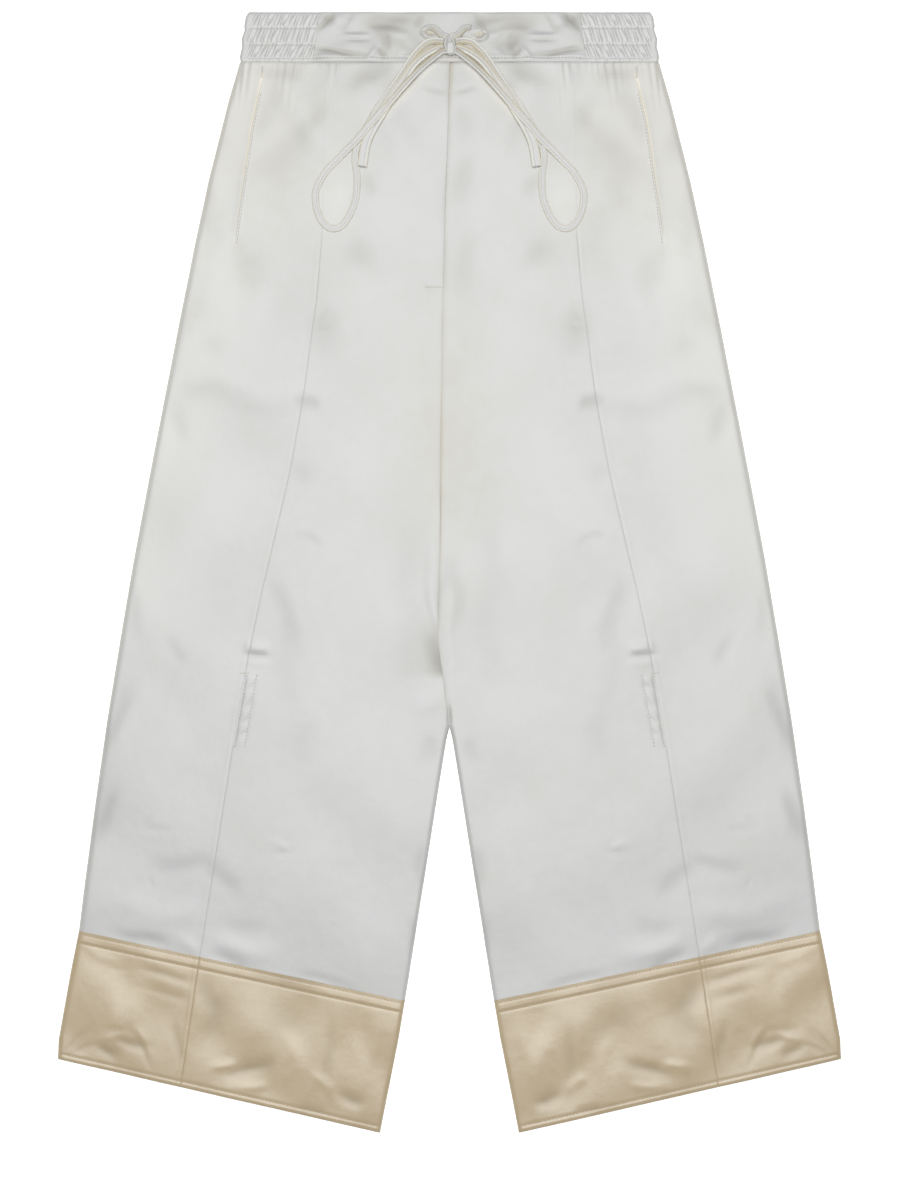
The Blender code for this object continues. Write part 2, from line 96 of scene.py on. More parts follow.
SIDE_LINE = rows_of("""
    45 188.9; 79 198.9; 115 207.9; 151 216.9; 205 228.6; 277 243; 349 257; 421 270.9; 493 284.4;
    565 296.6; 637 308.3; 709 318.6; 781 328.1; 827 333.8; 863 341; 925 352; 943 352.8
""")
INSEAM = rows_of("""
    643.5 0; 655 2.7; 691 8.5; 763 19.8; 799 25.6; 871 36.9; 925 45.9; 961 53.1; 1009 62.5
""")
CENTRE_SEAM = rows_of("""
    45 0.4; 151 -3.1; 247 -5.8; 349 -7.2; 493 -8.5; 565 -10.3; 610 -4.5; 643.5 0
""")
LEG_SEAM = rows_of("""
    45 112; 199 114.8; 259 120; 347 132; 412 143.6; 520 168.8; 570 179.6; 594 184; 664 195.8; 853 225.5;
    964 241.7
""")
BAND_SIDE = rows_of("""
    0 181; 4 183.6; 12 185; 16 184.6; 24 187.4; 31 186.9; 40 189; 45 188.2
""")
BAND_JOIN = ((0, 117.0), (45, 123.2))
LEG_BAND = ((WAIST_DEPTH, WAIST_DEPTH), (827.0, 890.0))
CUFF_BAND = ((827.0, 890.0), (942.5, LENGTH))
CUFF_DEPTH = (CUFF_BAND[1][0] + CUFF_BAND[1][1] - CUFF_BAND[0][0] - CUFF_BAND[0][1]) / 2


def reading(rows, below):
    """A two-column table read at one or many distances below the waist."""
    table = np.array(rows, dtype=float)
    return np.interp(below, table[:, 0], table[:, 1])


def mix(start, end, share):
    return start + (end - start) * share


def ramp(value, start, end):
    """0 before start, 1 beyond end, and an even rise between them."""
    return np.clip((value - start) / (end - start), 0.0, 1.0)


def inner_edge(side, below):
    """The leg's inner edge: the centre seam down to the fork, and the inseam below it."""
    return np.where(below < FORK_BELOW, side * reading(CENTRE_SEAM, below), reading(INSEAM, below))


def from_side(out, below):
    """How far a point lies in from the side line."""
    return np.maximum(reading(SIDE_LINE, below) - out, 0.0)


def from_inner(side, out, below):
    """How far a point lies out from the leg's inner edge."""
    return np.maximum(out - inner_edge(side, below), 0.0)


def leg_place(side, band, across, down):
    """Out and below for points of a leg: across is 0 at the side, 1 at the leg seam, 2 inside."""
    (side_start, inner_start), (side_end, inner_end) = band
    outer_below, inner_below = mix(side_start, side_end, down), mix(inner_start, inner_end, down)
    outer, inner = reading(SIDE_LINE, outer_below), inner_edge(side, inner_below)
    share = np.full(np.shape(down), 0.5)
    for _ in range(4):  # the seam's own slant makes this a matter of trial
        seam = reading(LEG_SEAM, mix(outer_below, inner_below, share))
        share = (outer - seam) / (outer - inner)
    position = np.where(across < 1.0, across * share, share + (across - 1.0) * (1.0 - share))
    return mix(outer, inner, position), mix(outer_below, inner_below, position)


hem_out, hem_below = leg_place(1, CUFF_BAND, np.array([0.0, 2.0]), np.array([1.0, 1.0]))
hem_width = math.hypot(hem_out[0] - hem_out[1], hem_below[0] - hem_below[1])
print("The hem is", round(hem_width), "mm wide, laid flat")

# %% [markdown]
# ## Folds
# Satin that lies flat is never quite flat: it holds long soft ridges and troughs that show as
# pale and dark patches. Each is a bell-shaped rise along a straight stretch, which is easy to
# place and to change. Wide rows are swells of the cloth and narrow ones are pressed creases.

# %% Fold tables
def folds_of(text):
    """Rows of from and to (as out and below), width, height, and -1 or 1 for one leg only."""
    return [((*leg, 0)[0], (x0, y0), (x1, y1), width, height)
            for x0, y0, x1, y1, width, height, *leg in rows_of(text)]


FOLDS = folds_of("""
    250 324 135 346 10 1.5; 241 341 136 358 12 -0.8; 244 334 219 339 8 -0.7; 246 351 241 385 9 -1;
    115 81 126 95 9 -0.8; 136 106 174 157 15 -0.9; 147 83 169 124 14 1; 106 115 131 162 18 0.8;
    88 61 49 45 11 -1.2; 68 60 52 54 7 -0.8; 169 49 135 57 8 -1; 90 208 70 227 12 -1;
    119 266 109 300 12 -0.9; 122 287 106 284 2.2 -0.5; 118 280 110 270 2.2 -0.4; 218 297 208 304 12 -0.6;
    189 236 172 250 14 -0.8; 192 209 180 225 10 -0.6; 246 291 226 259 12 -0.7; 221 149 216 176 11 -0.6;
    55 68 27 54 6 -0.8; 23 67 7 73 3 -0.7; 15 90 12 113 9 -0.8 1; 14 137 14 160 12 -0.9 1;
    14 198 15 257 13 -0.7 1; 3 291 30 338 6 0.7 1; 22 246 6 248 2.6 -0.3 -1; 23 244 18 251 2.2 -0.4 -1;
    75 148 69 162 7 -0.9; 137 350 123 350 6 -1.7; 141 345 135 352 2.2 -0.5; 52 115 43 202 22 0.7;
    93 250 45 306 20 0.7; 192 148 135 198 20 0.6; 212 192 201 286 14 0.8; 138 410 129 418 9 -0.7;
    138 472 126 472 3.5 -0.7; 126 472 115 480 3.5 -0.7; 136 466 117 469 5 0.5; 156 516 144 570 10 -1;
    148 574 144 637 11 -0.45; 135 646 132 675 10 -0.6; 42 457 37 529 13 -0.5; 37 538 35 601 13 -0.5;
    17 562 10 590 8 -1.2 -1; 18 493 9 565 6 1.7 -1; 16 349 12 493 8 0.8 -1; 28 624 12 614 9 0.9 -1;
    14 358 12 493 9 0.7 1; 3 495 10 549 6 -0.9 1; 1 529 0 610 5 1 1; 295 610 310 664 9 -1.4;
    253 567 246 583 7 -0.7; 286 527 280 565 7 -0.6; 307 709 316 738 8 -1.5; 261 769 223 765 8 -1.1;
    214 774 196 790 9 -1.1; 306 804 235 813 12 1.2; 202 839 156 850 8 1.4; 243 835 230 841 6 0.9;
    295 829 255 841 5.5 -1.8; 208 850 183 858 4.5 -1.5; 135 866 88 878 3.5 -0.9; 196 821 174 826 8 -0.8;
    277 733 268 724 2.2 -0.5; 273 734 252 735 2.2 -0.6; 162 747 144 751 2.2 0.6; 157 757 142 754 2.2 -0.6;
    147 745 141 754 2.2 -0.4; 271 780 267 787 2.2 -0.4; 23 756 28 788 7 -1.1; 31 821 35 844 6 -1;
    19 659 23 675 8 -0.8; 73 781 79 876 6 0.6; 185 579 165 579 2.4 -1.5; 182 571 165 571 4.6 1.9;
    181 585 163 585 3.6 0.6; 0 626 0 644 2 -1.6; 279 610 246 673 20 0.7; 99 619 90 745 26 0.7;
    243 493 211 421 22 0.8; 90 385 70 493 24 0.7; 180 286 163 232 12 0.6
""")
BAND_FOLDS = folds_of("""
    106 1.8 118 16.2 3 -1.6; 98 2.7 108 16.2 3.6 0.9; 88 1.8 96 13.5 3 -0.9; 121 19.8 123 32.4 3 -0.6;
    95 21.2 75 19.8 2.2 1.3; 95 24.8 75 24.1 2 -0.6; 117 32.9 91 37.8 2.6 -1.5; 95 36.0 75 37.8 2.8 -1;
    115 39.1 99 39.6 2.6 0.6; 74 40.1 67 32.4 3.2 1.5; 63 33.3 58 40.5 2.6 -1.3; 46 39.6 41 34.2 3 0.8;
    66 16.2 57 32.4 5 -0.8; 70 11.7 46 15.3 3.4 -1.2; 47 20.7 34 21.2 3.4 0.9; 55 27.0 36 31.5 4.5 -0.7;
    27 1.8 30 12.6 3.6 -0.9; 99 5.4 82 9.0 5 0.6; 76 8.1 31 6.3 6 -0.9; 115 3.6 100 9.0 5 -0.8;
    41 16.2 27 23.4 5 -0.8; 59 19.8 56 34.2 4 -0.8; 3 3.6 0 15.3 9 0.9; 12 20.3 0 20.7 2 -0.8
""")
CUFF_FOLDS = folds_of("""
    315 867 292 907 15 1.3; 288 858 279 898 11 0.8; 316 931 304 936 6 -1.3; 298 924 271 931 5 -1.3;
    311 917 289 916 4 -0.5; 320 929 297 920 3 0.5; 288 916 277 930 3 -0.5; 277 930 269 948 3 -0.5;
    281 916 271 936 3 0.5; 274 863 235 871 4.5 -0.9; 270 881 237 886 5 -0.6; 246 914 244 945 5 -0.8;
    220 876 211 898 8 -1.1; 201 894 220 925 8 -0.9; 180 868 135 877 10 -0.6; 196 958 160 945 6 -1.5;
    214 950 196 949 4.5 1.1; 192 968 167 965 4.5 1; 144 930 134 958 7 1; 118 961 107 970 6 1;
    88 914 79 966 9 1.1; 94 974 79 981 6 -1.4; 108 916 110 979 4 -0.8; 345 936 324 916 3 -0.7;
    343 939 316 928 3 -0.6; 162 898 126 925 12 -0.6; 327 844 298 853 6 0.7; 135 988 117 990 4 -0.8;
    67 889 70 943 8 0.7
""")


def bell(distance, width):
    return np.exp(-(distance / width) ** 2)


def distance_to_line(out, below, start, end):
    run_out, run_below = end[0] - start[0], end[1] - start[1]
    share = ((out - start[0]) * run_out + (below - start[1]) * run_below) / (run_out ** 2 + run_below ** 2)
    share = np.clip(share, 0.0, 1.0)
    return np.hypot(out - start[0] - share * run_out, below - start[1] - share * run_below)


def wander(out, below, reach, length):
    """Moves places a little to and fro, so that nothing on the cloth runs dead straight."""
    return (out + reach * np.sin(below / length + 1.7 * np.sin(out / (1.6 * length))),
            below + reach * np.sin(out / length + 2.0 + 1.3 * np.sin(below / (1.9 * length))))


def folded(table, side, out, below):
    """Sum of the folds at each point. side is -1 or 1, one number or one for every point."""
    total = np.zeros(np.shape(out))
    for leg, start, end, width, height in table:
        here = 1.0 if leg == 0 else (leg == side) * 1.0
        reach = min(0.35 * width, 3.5)
        moved_out, moved_below = wander(out, below, reach, 9.0 + reach)
        run_out, run_below = end[0] - start[0], end[1] - start[1]
        length = math.hypot(run_out, run_below)
        half = length / 2
        from_out, from_below = moved_out - (start[0] + end[0]) / 2, moved_below - (start[1] + end[1]) / 2
        along = (from_out * run_out + from_below * run_below) / length
        sideways = (from_out * run_below - from_below * run_out) / length
        soft_end = np.exp(-np.abs(along / (half + 0.5 * width)) ** 3)
        total += here * height * soft_end * bell(sideways, width)
    return total


def shade(table, side, out, below):
    """How much a trough darkens, from its depth. The start is softened, and 2 is the most."""
    depth = -folded(table, side, out, below)
    return np.minimum(0.5 * (depth + np.hypot(depth, 0.25)), 2.0)


print(len(FOLDS), "folds on the legs,", len(BAND_FOLDS), "on the waistband,", len(CUFF_FOLDS), "on the cuffs")

# %% [markdown]
# ## Height of the cloth
# The front lies on the back, rolls down to it at the side lines and at the inseams, and dips
# at each seam. Small gathers hang from the waistband seam. One function gives the height for
# any point, so the tape and the stitches can lie on the same surface.

# %% Height of the front
BACK_WALL = 1.2
FRONT_TOP = 4.9
FRONT_LOWEST = 1.9
FRONT_DROP = FRONT_TOP - FRONT_LOWEST
SIDE_TURN, INSEAM_TURN = 1.1, 1.2
FOLD_RELIEF = 0.5
GATHER_PITCH, GATHER_RISE, GATHER_REACH, GATHER_FROM, GATHER_SLANT = 6.3, 0.26, 62.0, 94.0, 0.12
PLACKET_FROM, PLACKET_TO, PLACKET_WIDTH, PUCKERS = 594.0, 664.0, 11.0, 5.0


def panel_gathers(out, below):
    """Small uneven gathers let into the waistband seam."""
    start = np.clip((out - GATHER_FROM) / GATHER_PITCH, 0.0, 1.0)
    uneven = 0.6 + 0.4 * np.sin(out / 7.3 + 1.0)
    fade = np.clip(1.0 - (below - WAIST_DEPTH) / (GATHER_REACH * uneven), 0.0, 1.0)
    turns = (out - GATHER_SLANT * (below - WAIST_DEPTH)) / GATHER_PITCH + 0.2 * np.sin(out / 5.1)
    return GATHER_RISE * uneven * start * fade ** 1.5 * np.cos(2 * math.pi * turns)


def leg_seam_height(out, below):
    """A groove with the seam allowance pressed to the outer side. It fades out at the hip."""
    outwards = out - reading(LEG_SEAM, below)
    allowance = 0.12 * (outwards > 0) * bell(np.maximum(outwards - 3.0, 0.0), 0.9)
    groove = -0.22 * np.exp(-np.abs(outwards) / 0.8)
    return (allowance + groove) * ramp(below, 185.0, 205.0)


def placket_height(out, below):
    """The stitched strip beside the leg seam at the knee, with its row of puckers."""
    inwards = reading(LEG_SEAM, below) - out
    along = (below - PLACKET_FROM) / (PLACKET_TO - PLACKET_FROM)
    inside = np.clip(8.0 * np.minimum(along, 1.0 - along), 0.0, 1.0)
    turns = PUCKERS * along + 0.05 * inwards + 0.12 * np.sin(9.0 * along)
    pucker = 0.22 * np.cos(2 * math.pi * turns) * bell(inwards - 7.0, 4.5)
    stitched = -0.3 * bell(inwards - PLACKET_WIDTH, 1.3) - 0.3 * bell(inwards - 1.5, 1.5)
    return inside * (pucker + stitched + 0.25 * bell(inwards - 6.0, 5.0))


def swell(out, below, length):
    """Slow uneven rise and fall, about 1 mm either way where all three waves meet."""
    return 0.4 * (np.sin(out / length + 0.6 * np.sin(below / (1.7 * length)))
                  * np.sin(below / (1.6 * length) + 1.0) + np.sin((out + 1.4 * below) / (1.9 * length) + 2.0))


def front_height(side, out, below):
    """The front: folds, slow swells that are stronger at the hips, rolled edges and seams."""
    height = FRONT_TOP + FOLD_RELIEF * folded(FOLDS, side, out, below)
    hips = ramp(below, 280.0, 80.0)
    height += (0.8 + 0.7 * hips) * swell(out + 40.0 * side, below, 17.0)
    height += 0.8 * hips * swell(out, 0.6 * below, 6.0)
    inwards, outwards = from_side(out, below), from_inner(side, out, below)
    roll = mix(8.0, 2.0, ramp(below, 0.0, 400.0))
    height -= FRONT_DROP * (0.12 * np.exp(-inwards / roll) + 0.88 * np.exp(-inwards / SIDE_TURN))
    height -= np.select(
        [below > FORK_BELOW, below < WAIST_DEPTH + FLY_LENGTH],
        [FRONT_DROP * np.exp(-outwards / INSEAM_TURN), side * 0.5 * np.exp(-outwards / 3.0)],
        0.25 * np.exp(-outwards / 1.8))
    height += leg_seam_height(out, below) + placket_height(out, below) + panel_gathers(out, below)
    height -= 0.35 * np.exp(WAIST_DEPTH - below)
    return np.maximum(height, FRONT_LOWEST)


middle = front_height(1, np.array([80.0]), np.array([420.0]))[0]
print("In the middle of a leg the cloth is", round(float(middle), 1), "mm above the floor")

# %% [markdown]
# ## Height of the waistband and cuffs
# Both are crumpled a little more than the legs, and a stitched line draws the cloth down beside
# it. A cuff also has a folded border along its top, which stands 0.6 mm higher.

# %% Height of the waistband and of the cuffs
BAND_TOP = 4.9
BAND_STITCHING = 41.0
CUFF_WALL = 1.6
CUFF_TOP = 5.0
CUFF_BORDER_WIDTH = 9.0
CUFF_BORDER_RISE = 0.6
HEM_STITCHING = 5.4


def band_height(out, below):
    """The plain middle of the waistband, with the stitched line above its lower edge."""
    edge = np.maximum(np.minimum(below, WAIST_DEPTH - below), 0.0)
    height = BAND_TOP + 0.5 * folded(BAND_FOLDS, 0, np.abs(out), below) + 0.9 * swell(out, 1.6 * below, 6.5)
    height += 0.12 * bell(below - BAND_STITCHING + 1.6, 1.3) - 0.16 * bell(below - BAND_STITCHING, 0.8)
    return height - 0.5 * np.exp(-edge / 0.7)


def cuff_height(side, out, below, from_top):
    """A cuff with its folded border, the stitched line of the hem and the creases of wear."""
    height = CUFF_TOP + 0.55 * folded(CUFF_FOLDS, side, out, below) + swell(out + 30.0 * side, below, 10.0)
    height += CUFF_BORDER_RISE * np.clip((CUFF_BORDER_WIDTH - from_top) / 0.8 + 1.0, 0.0, 1.0)
    height -= 0.35 * bell(from_top - CUFF_BORDER_WIDTH - 1.6, 0.9) + 0.25 * bell(from_top - 2.6, 0.8)
    height -= 0.5 * bell(from_top - CUFF_DEPTH + HEM_STITCHING, 1.0)
    height -= np.exp(-np.maximum(CUFF_DEPTH - from_top, 0.0))
    lowest = CUFF_WALL + 0.8
    edges = np.exp(-from_side(out, below) / 1.4) + np.exp(-from_inner(side, out, below) / 1.4)
    height -= (CUFF_TOP - lowest) * edges
    height += 1.3 * leg_seam_height(out, below)
    return np.maximum(height, lowest)


def cloth_top(side, out, below):
    return np.where(below < WAIST_DEPTH, band_height(out, below), front_height(side, out, below))


print("The waistband is", BAND_TOP, "mm high and a cuff is", CUFF_TOP, "mm, without their folds")

# %% [markdown]
# ## Shader helpers
# A node tree reads better as sums. A small class wraps a socket, so that an expression such as
# noise * 0.2 + shade adds its own Math nodes, and one method adds any other node.

# %% Sockets with arithmetic
class Signal:
    """An output socket that can be added to, subtracted from and multiplied."""

    def __init__(self, tree, socket):
        self.tree, self.socket = tree, socket

    def with_math(self, operation, other):
        node = self.tree.nodes.new("ShaderNodeMath")
        node.operation = operation
        self.tree.links.new(self.socket, node.inputs[0])
        if isinstance(other, Signal):
            self.tree.links.new(other.socket, node.inputs[1])
        else:
            node.inputs[1].default_value = other
        return Signal(self.tree, node.outputs[0])

    def __add__(self, other):
        return self.with_math("ADD", other)

    def __sub__(self, other):
        return self.with_math("SUBTRACT", other)

    def __mul__(self, other):
        return self.with_math("MULTIPLY", other)


class Finish:
    """A material under construction, with its Principled shader."""

    def __init__(self, name):
        self.material = bpy.data.materials.new(name)
        self.material.use_nodes = True
        self.tree = self.material.node_tree
        self.shader = self.tree.nodes["Principled BSDF"]

    def feed(self, slot, value):
        if isinstance(value, Signal):
            self.tree.links.new(value.socket, slot)
        elif slot.type == "RGBA" and len(value) == 3:
            slot.default_value = (*value, 1.0)
        else:
            slot.default_value = value

    def add(self, kind, output=0, **values):
        node = self.tree.nodes.new("ShaderNode" + kind)
        for key, value in values.items():
            self.feed(node.inputs[key], value)
        return Signal(self.tree, node.outputs[output])

    def painted(self, name):
        """The value that was painted on the points under this name."""
        node = self.tree.nodes.new("ShaderNodeAttribute")
        node.attribute_name = name
        return Signal(self.tree, node.outputs["Fac"])

    def blend(self, share, first, second):
        node = self.tree.nodes.new("ShaderNodeMix")
        node.data_type = "RGBA"
        self.feed(node.inputs["Factor"], share)
        for slot, value in zip([s for s in node.inputs if s.type == "RGBA"], (first, second)):
            self.feed(slot, value)
        return Signal(self.tree, [s for s in node.outputs if s.type == "RGBA"][0])

    def set(self, **values):
        for key, value in values.items():
            self.feed(self.shader.inputs[key.replace("_", " ")], value)
        return self


print("Signals add, take away and multiply")

# %% [markdown]
# ## Satin
# Satin floats its warp threads over the weft, so it looks smooth, with a soft sheen and hardly
# any weave. A slow noise shifts the colour a little, stretched noise gives the threads, and
# three painted values lay brownish painted shade, grey painted shade and painted light into the colour.

# %% The two satins
SHEEN = (1.0, 0.96, 0.88)
# The colour of painted light, and how far painted shade dims the colour.
PAINTED_LIGHT_COLOUR = (0.90, 0.81, 0.62)
DIMMED = 0.55


def satin(name, light, shaded, roughness, mottle, index):
    """light and shaded are the two ends of its colour, and mottle is how patchy it is."""
    finish = Finish(name)
    place = finish.add("TexCoord", "Object")
    patches = finish.add("TexNoise", Vector=place, Scale=14.0, Detail=2.0)
    soft = finish.add("TexNoise", Vector=place, Scale=90.0, Detail=3.0)
    warp = finish.add("Mapping", Vector=place, Scale=(2.5, 1.0, 1.0))
    threads = finish.add("TexNoise", Vector=warp, Scale=1400.0, Detail=1.0)
    # Painted shade and painted light: brownish and grey shade darken the colour, and the painted light makes
    # it pale gold.
    warm_shade, painted_shade, glow = [finish.painted(layer) for layer in ("warm_shade", "painted_shade", "glow")]
    ground = finish.blend((patches - 0.4) * 0.25 + (soft - 0.5) * mottle + warm_shade, light, shaded)
    dimmed = finish.blend(painted_shade, ground, [DIMMED * channel for channel in light])
    colour = finish.blend(glow, dimmed, PAINTED_LIGHT_COLOUR)
    weave = finish.add("Bump", Height=threads * 0.00002 + soft * 0.0003, Strength=0.6, Distance=1.0)
    finish.set(Base_Color=colour, Roughness=patches * 0.08 + painted_shade * 0.2 + (roughness - 0.04), Normal=weave,
               Specular_Tint=SHEEN, IOR=index)
    return finish.material


SATINS = {
    "ivory_satin": satin("ivory satin", (0.50, 0.480, 0.440), (0.40, 0.345, 0.235), 0.34, 0.3, 1.55),
    "champagne_satin": satin("champagne satin", (0.475, 0.365, 0.222), (0.36, 0.25, 0.125), 0.28, 0.9, 1.6),
}
print("Made", " and ".join(material.name for material in SATINS.values()))

# %% [markdown]
# ## Making a panel
# Each panel starts as a flat grid, its points are moved to their place on the garment, and
# Solidify gives it the thickness of cloth. The grid's own 0-to-1 coordinates say which row and
# column a point is in. Each point also gets three painted values, which the finish reads.

# %% Panel maker
CLOTH = 0.5


def points_at(x, below, height):
    """Points in metres from x, below and height in millimetres."""
    return np.stack([x, LENGTH / 2 - below, height], axis=1) * MM


def mesh_from(bm, name):
    mesh = bpy.data.meshes.new(name)
    bm.to_mesh(mesh)
    bm.free()
    return mesh


def dress(name, mesh, nodes=(), slot="ivory_satin"):
    """Links a finished mesh, ties it to the garment and hides the solids it stands for."""
    mesh.shade_smooth()
    mesh.materials.append(SATINS[slot])
    piece = bpy.data.objects.new(name, mesh)
    bpy.context.scene.collection.objects.link(piece)
    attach(piece, "root")
    if nodes:
        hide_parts(*nodes)
    return piece


def paint(mesh, **layers):
    """Writes a value for every point: brownish painted shade, grey painted shade and painted light."""
    for name in ("warm_shade", "painted_shade", "glow"):
        if name not in mesh.attributes:
            mesh.attributes.new(name, "FLOAT", "POINT")
        if name in layers:
            mesh.attributes[name].data.foreach_set("value", layers[name])


def sheet_of_cloth(name, columns, rows, place, nodes=(), painted=None, thickness=CLOTH, slot="ivory_satin"):
    """A panel from a grid. place(across, down) gives x, below and height as arrays, in mm."""
    bm = bmesh.new()
    bmesh.ops.create_grid(bm, x_segments=columns, y_segments=rows, size=0.5, calc_uvs=False)
    for edge in bm.edges:
        edge.smooth = not edge.is_boundary
    mesh = mesh_from(bm, name)
    grid = np.empty(len(mesh.vertices) * 3)
    mesh.vertices.foreach_get("co", grid)
    across, down = grid.reshape(-1, 3)[:, 0] + 0.5, grid.reshape(-1, 3)[:, 1] + 0.5
    x, below, height = place(across, down)
    mesh.vertices.foreach_set("co", points_at(x, below, height).ravel())
    mesh.update()
    if mesh.polygons[len(mesh.polygons) // 2].normal.z < 0:
        mesh.flip_normals()
    paint(mesh, **(painted(x, below) if painted else {}))
    piece = dress(name, mesh, nodes, slot)
    wall = piece.modifiers.new("cloth", "SOLIDIFY")
    wall.thickness, wall.offset = thickness * MM, -1.0
    return piece


def flat_area(piece):
    """Area of a panel's outline seen from above, in square metres."""
    mesh = piece.data
    corners = np.empty(len(mesh.vertices) * 3)
    mesh.vertices.foreach_get("co", corners)
    loops = np.empty(len(mesh.loops), dtype=int)
    mesh.loops.foreach_get("vertex_index", loops)
    a, b, c, d = np.moveaxis(corners.reshape(-1, 3)[loops.reshape(-1, 4), :2], 1, 0)
    across, along = c - a, d - b
    return float(np.abs(across[:, 0] * along[:, 1] - across[:, 1] * along[:, 0]).sum() / 2)


def declare(piece, width, length, rests_on):
    """States a panel's cut. Its flat area is measured from the panel itself."""
    area = min(flat_area(piece), width * length * MM * MM)
    width * MM
    length * MM
    print(piece.name, round(width), "x", round(length), "mm,", round(area * 1e4), "square cm")


def spaced(share):
    """Columns that lie closer together near both edges of a panel."""
    return 0.25 * share + 0.375 * (1.0 - np.cos(math.pi * share))


def between_seams(side, band, first, last, across, down):
    """Places in the panel from line first to line last of a leg, with a hair's gap at the seams."""
    edges = [leg_place(side, band, np.full(len(down), float(line)), down)[0] for line in (first, last)]
    margin = HALF_GAP / np.abs(edges[0] - edges[1])
    return leg_place(side, band, mix(float(first), float(last), mix(margin, 1.0 - margin, across)), down)


print("A panel's cloth is", CLOTH, "mm thick")

# %% [markdown]
# ## The front legs
# Each leg front is two panels with a seam between them. The outer panel has the pocket mouth.
# Rows lie close together under the waistband and at the knee, where the small creases are.

# %% Front panels
PANELS = (("outer", 0, 1), ("inner", 1, 2))
COLUMN_COUNT = {"outer": 76, "inner": 100}
FRONT_SIZE = {"outer": (222, 845), "inner": (235, 845)}
LEG_ROWS = 320
ROW_SHARES = ((0.0, 0.0), (0.22, 0.09), (0.6, 0.6), (0.8, 0.75), (1.0, 1.0))
POCKET = ((167.9, 56.0), (172.0, 73.0), (178.3, 101.0), (194.0, 209.5))
POCKET_TOP, POCKET_END, POCKET_FADE = POCKET[0][1], POCKET[-1][1], 19.125


def pocket_distance(out, below):
    return np.min([distance_to_line(out, below, *ends) for ends in zip(POCKET, POCKET[1:])], axis=0)


def at_pocket(across, down):
    """Gathers the outer panel's columns round the pocket mouth, so that its edge is crisp."""
    middle, near, reach = 0.3, 0.08, 0.022
    below = mix(*[place[0] for place in LEG_BAND], down)
    line = reading([(below, out) for out, below in POCKET], below)
    held = np.clip(below, POCKET_TOP, POCKET_END)
    target = (reading(SIDE_LINE, held) - line) / (reading(SIDE_LINE, held) - reading(LEG_SEAM, held))
    return np.select(
        [across < middle - near, across < middle + near],
        [across / (middle - near) * (target - reach), target + (across - middle) / near * reach],
        target + reach + (across - middle - near) / (1.0 - middle - near) * (1.0 - target - reach))


def front_paint(x, below):
    """Painted shade, brownish at the pocket mouths, fly and fork and grey in the troughs, and painted light
    at the sides and in the loops.
    """
    out, side = np.abs(x), np.where(x > reading(CENTRE_SEAM, below), 1, -1)
    # Everything here is painted light and shade: brownish shade at the slit, hip, fly, seams, pit, upper
    # hips, fork and under the tape, grey shade in the troughs and the pit, and pale painted light at the
    # sides, in the loops, at the slit and beside the tape.
    slit = bell(pocket_distance(out, below), 0.95) * np.maximum(ramp(below, 215.0, 105.0), 0.25)
    inwards = from_side(out, below)
    hip = np.exp(-inwards / 12.0) * ramp(below, 330.0, 130.0)
    pale = 0.1 * bell(np.hypot((out - 102.0) / 15.0, (below - 168.0) / 25.0), 1.0)
    pale += 0.14 * ramp(inwards, 90.0, 0.0) * ramp(below, 700.0, 400.0)
    from_seam = x - reading(CENTRE_SEAM, below)
    above_fork = ramp(below, FORK_BELOW, FORK_BELOW - 15.0)
    fly = bell(from_seam - 1.5, 2.0) * above_fork * (0.15 + 0.5 * ramp(below, 110.0, 50.0))
    seam = 0.35 * bell(from_seam, 1.3) * bell(below - 420.0, 110.0)
    pit = (from_seam < 0) * np.exp(np.minimum(from_seam, 0.0) / 12.0)
    pit *= ramp(below, 540.0, 585.0) * ramp(below, 601.0, 593.0)
    dim = shade(FOLDS, side, out, below)
    upper = bell(out - 160.0, 70.0) * bell(below - 120.0, 110.0)
    fork = bell(out, 50.0) * bell(below - 380.0, 110.0)
    under_tape = bell(distance_to_line(out, below, (20.0, 41.0), (61.0, 88.0)), 3.5)
    beside_tape = bell(distance_to_line(out, below, (10.0, 41.0), (58.0, 92.0)), 4.0)
    warm_shade = 0.6 * slit + 0.1 * hip + fly + seam + 0.9 * pit + 0.2 * upper + 0.3 * under_tape + 0.25 * fork
    warm_shade += 0.15 * dim * ramp(below, 420.0, 220.0) - 0.7 * pale
    glow = 0.5 * slit + pale + 0.2 * bell(inwards, 1.5) + np.maximum(0.6 * under_tape, 0.22 * beside_tape)
    return {"warm_shade": warm_shade, "painted_shade": 0.2 * dim + 0.6 * pit, "glow": glow}


def pocket_mouth(out, below):
    """The pocket's edge stands a little above the facing behind it."""
    along = np.clip(np.minimum(below - POCKET_TOP, POCKET_END - below) / POCKET_FADE, 0.0, 1.0)
    distance = pocket_distance(out, below)
    return along * (-0.4 * bell(distance, 0.7) + 0.2 * bell(distance, 3.0))


for word, side in SIDES:
    for part, first, last in PANELS:
        def place(across, down, side=side, first=first, last=last):
            down = reading(ROW_SHARES, down)
            across = at_pocket(across, down) if first == 0 else spaced(across)
            out, below = between_seams(side, LEG_BAND, first, last, across, down)
            return side * out, below, front_height(side, out, below) + pocket_mouth(out, below)

        node = "front_" + part + "_" + word
        panel = sheet_of_cloth(node + "_satin", COLUMN_COUNT[part], LEG_ROWS, place, [node], front_paint)
        declare(panel, *FRONT_SIZE[part], ["back_" + word])

# %% [markdown]
# ## The back legs
# The back lies flat on the floor, under the front. Only its edges show, so it is a plain sheet
# with the same outline, a little inside the front's.

# %% Back panels
BACK_INSET = 0.4

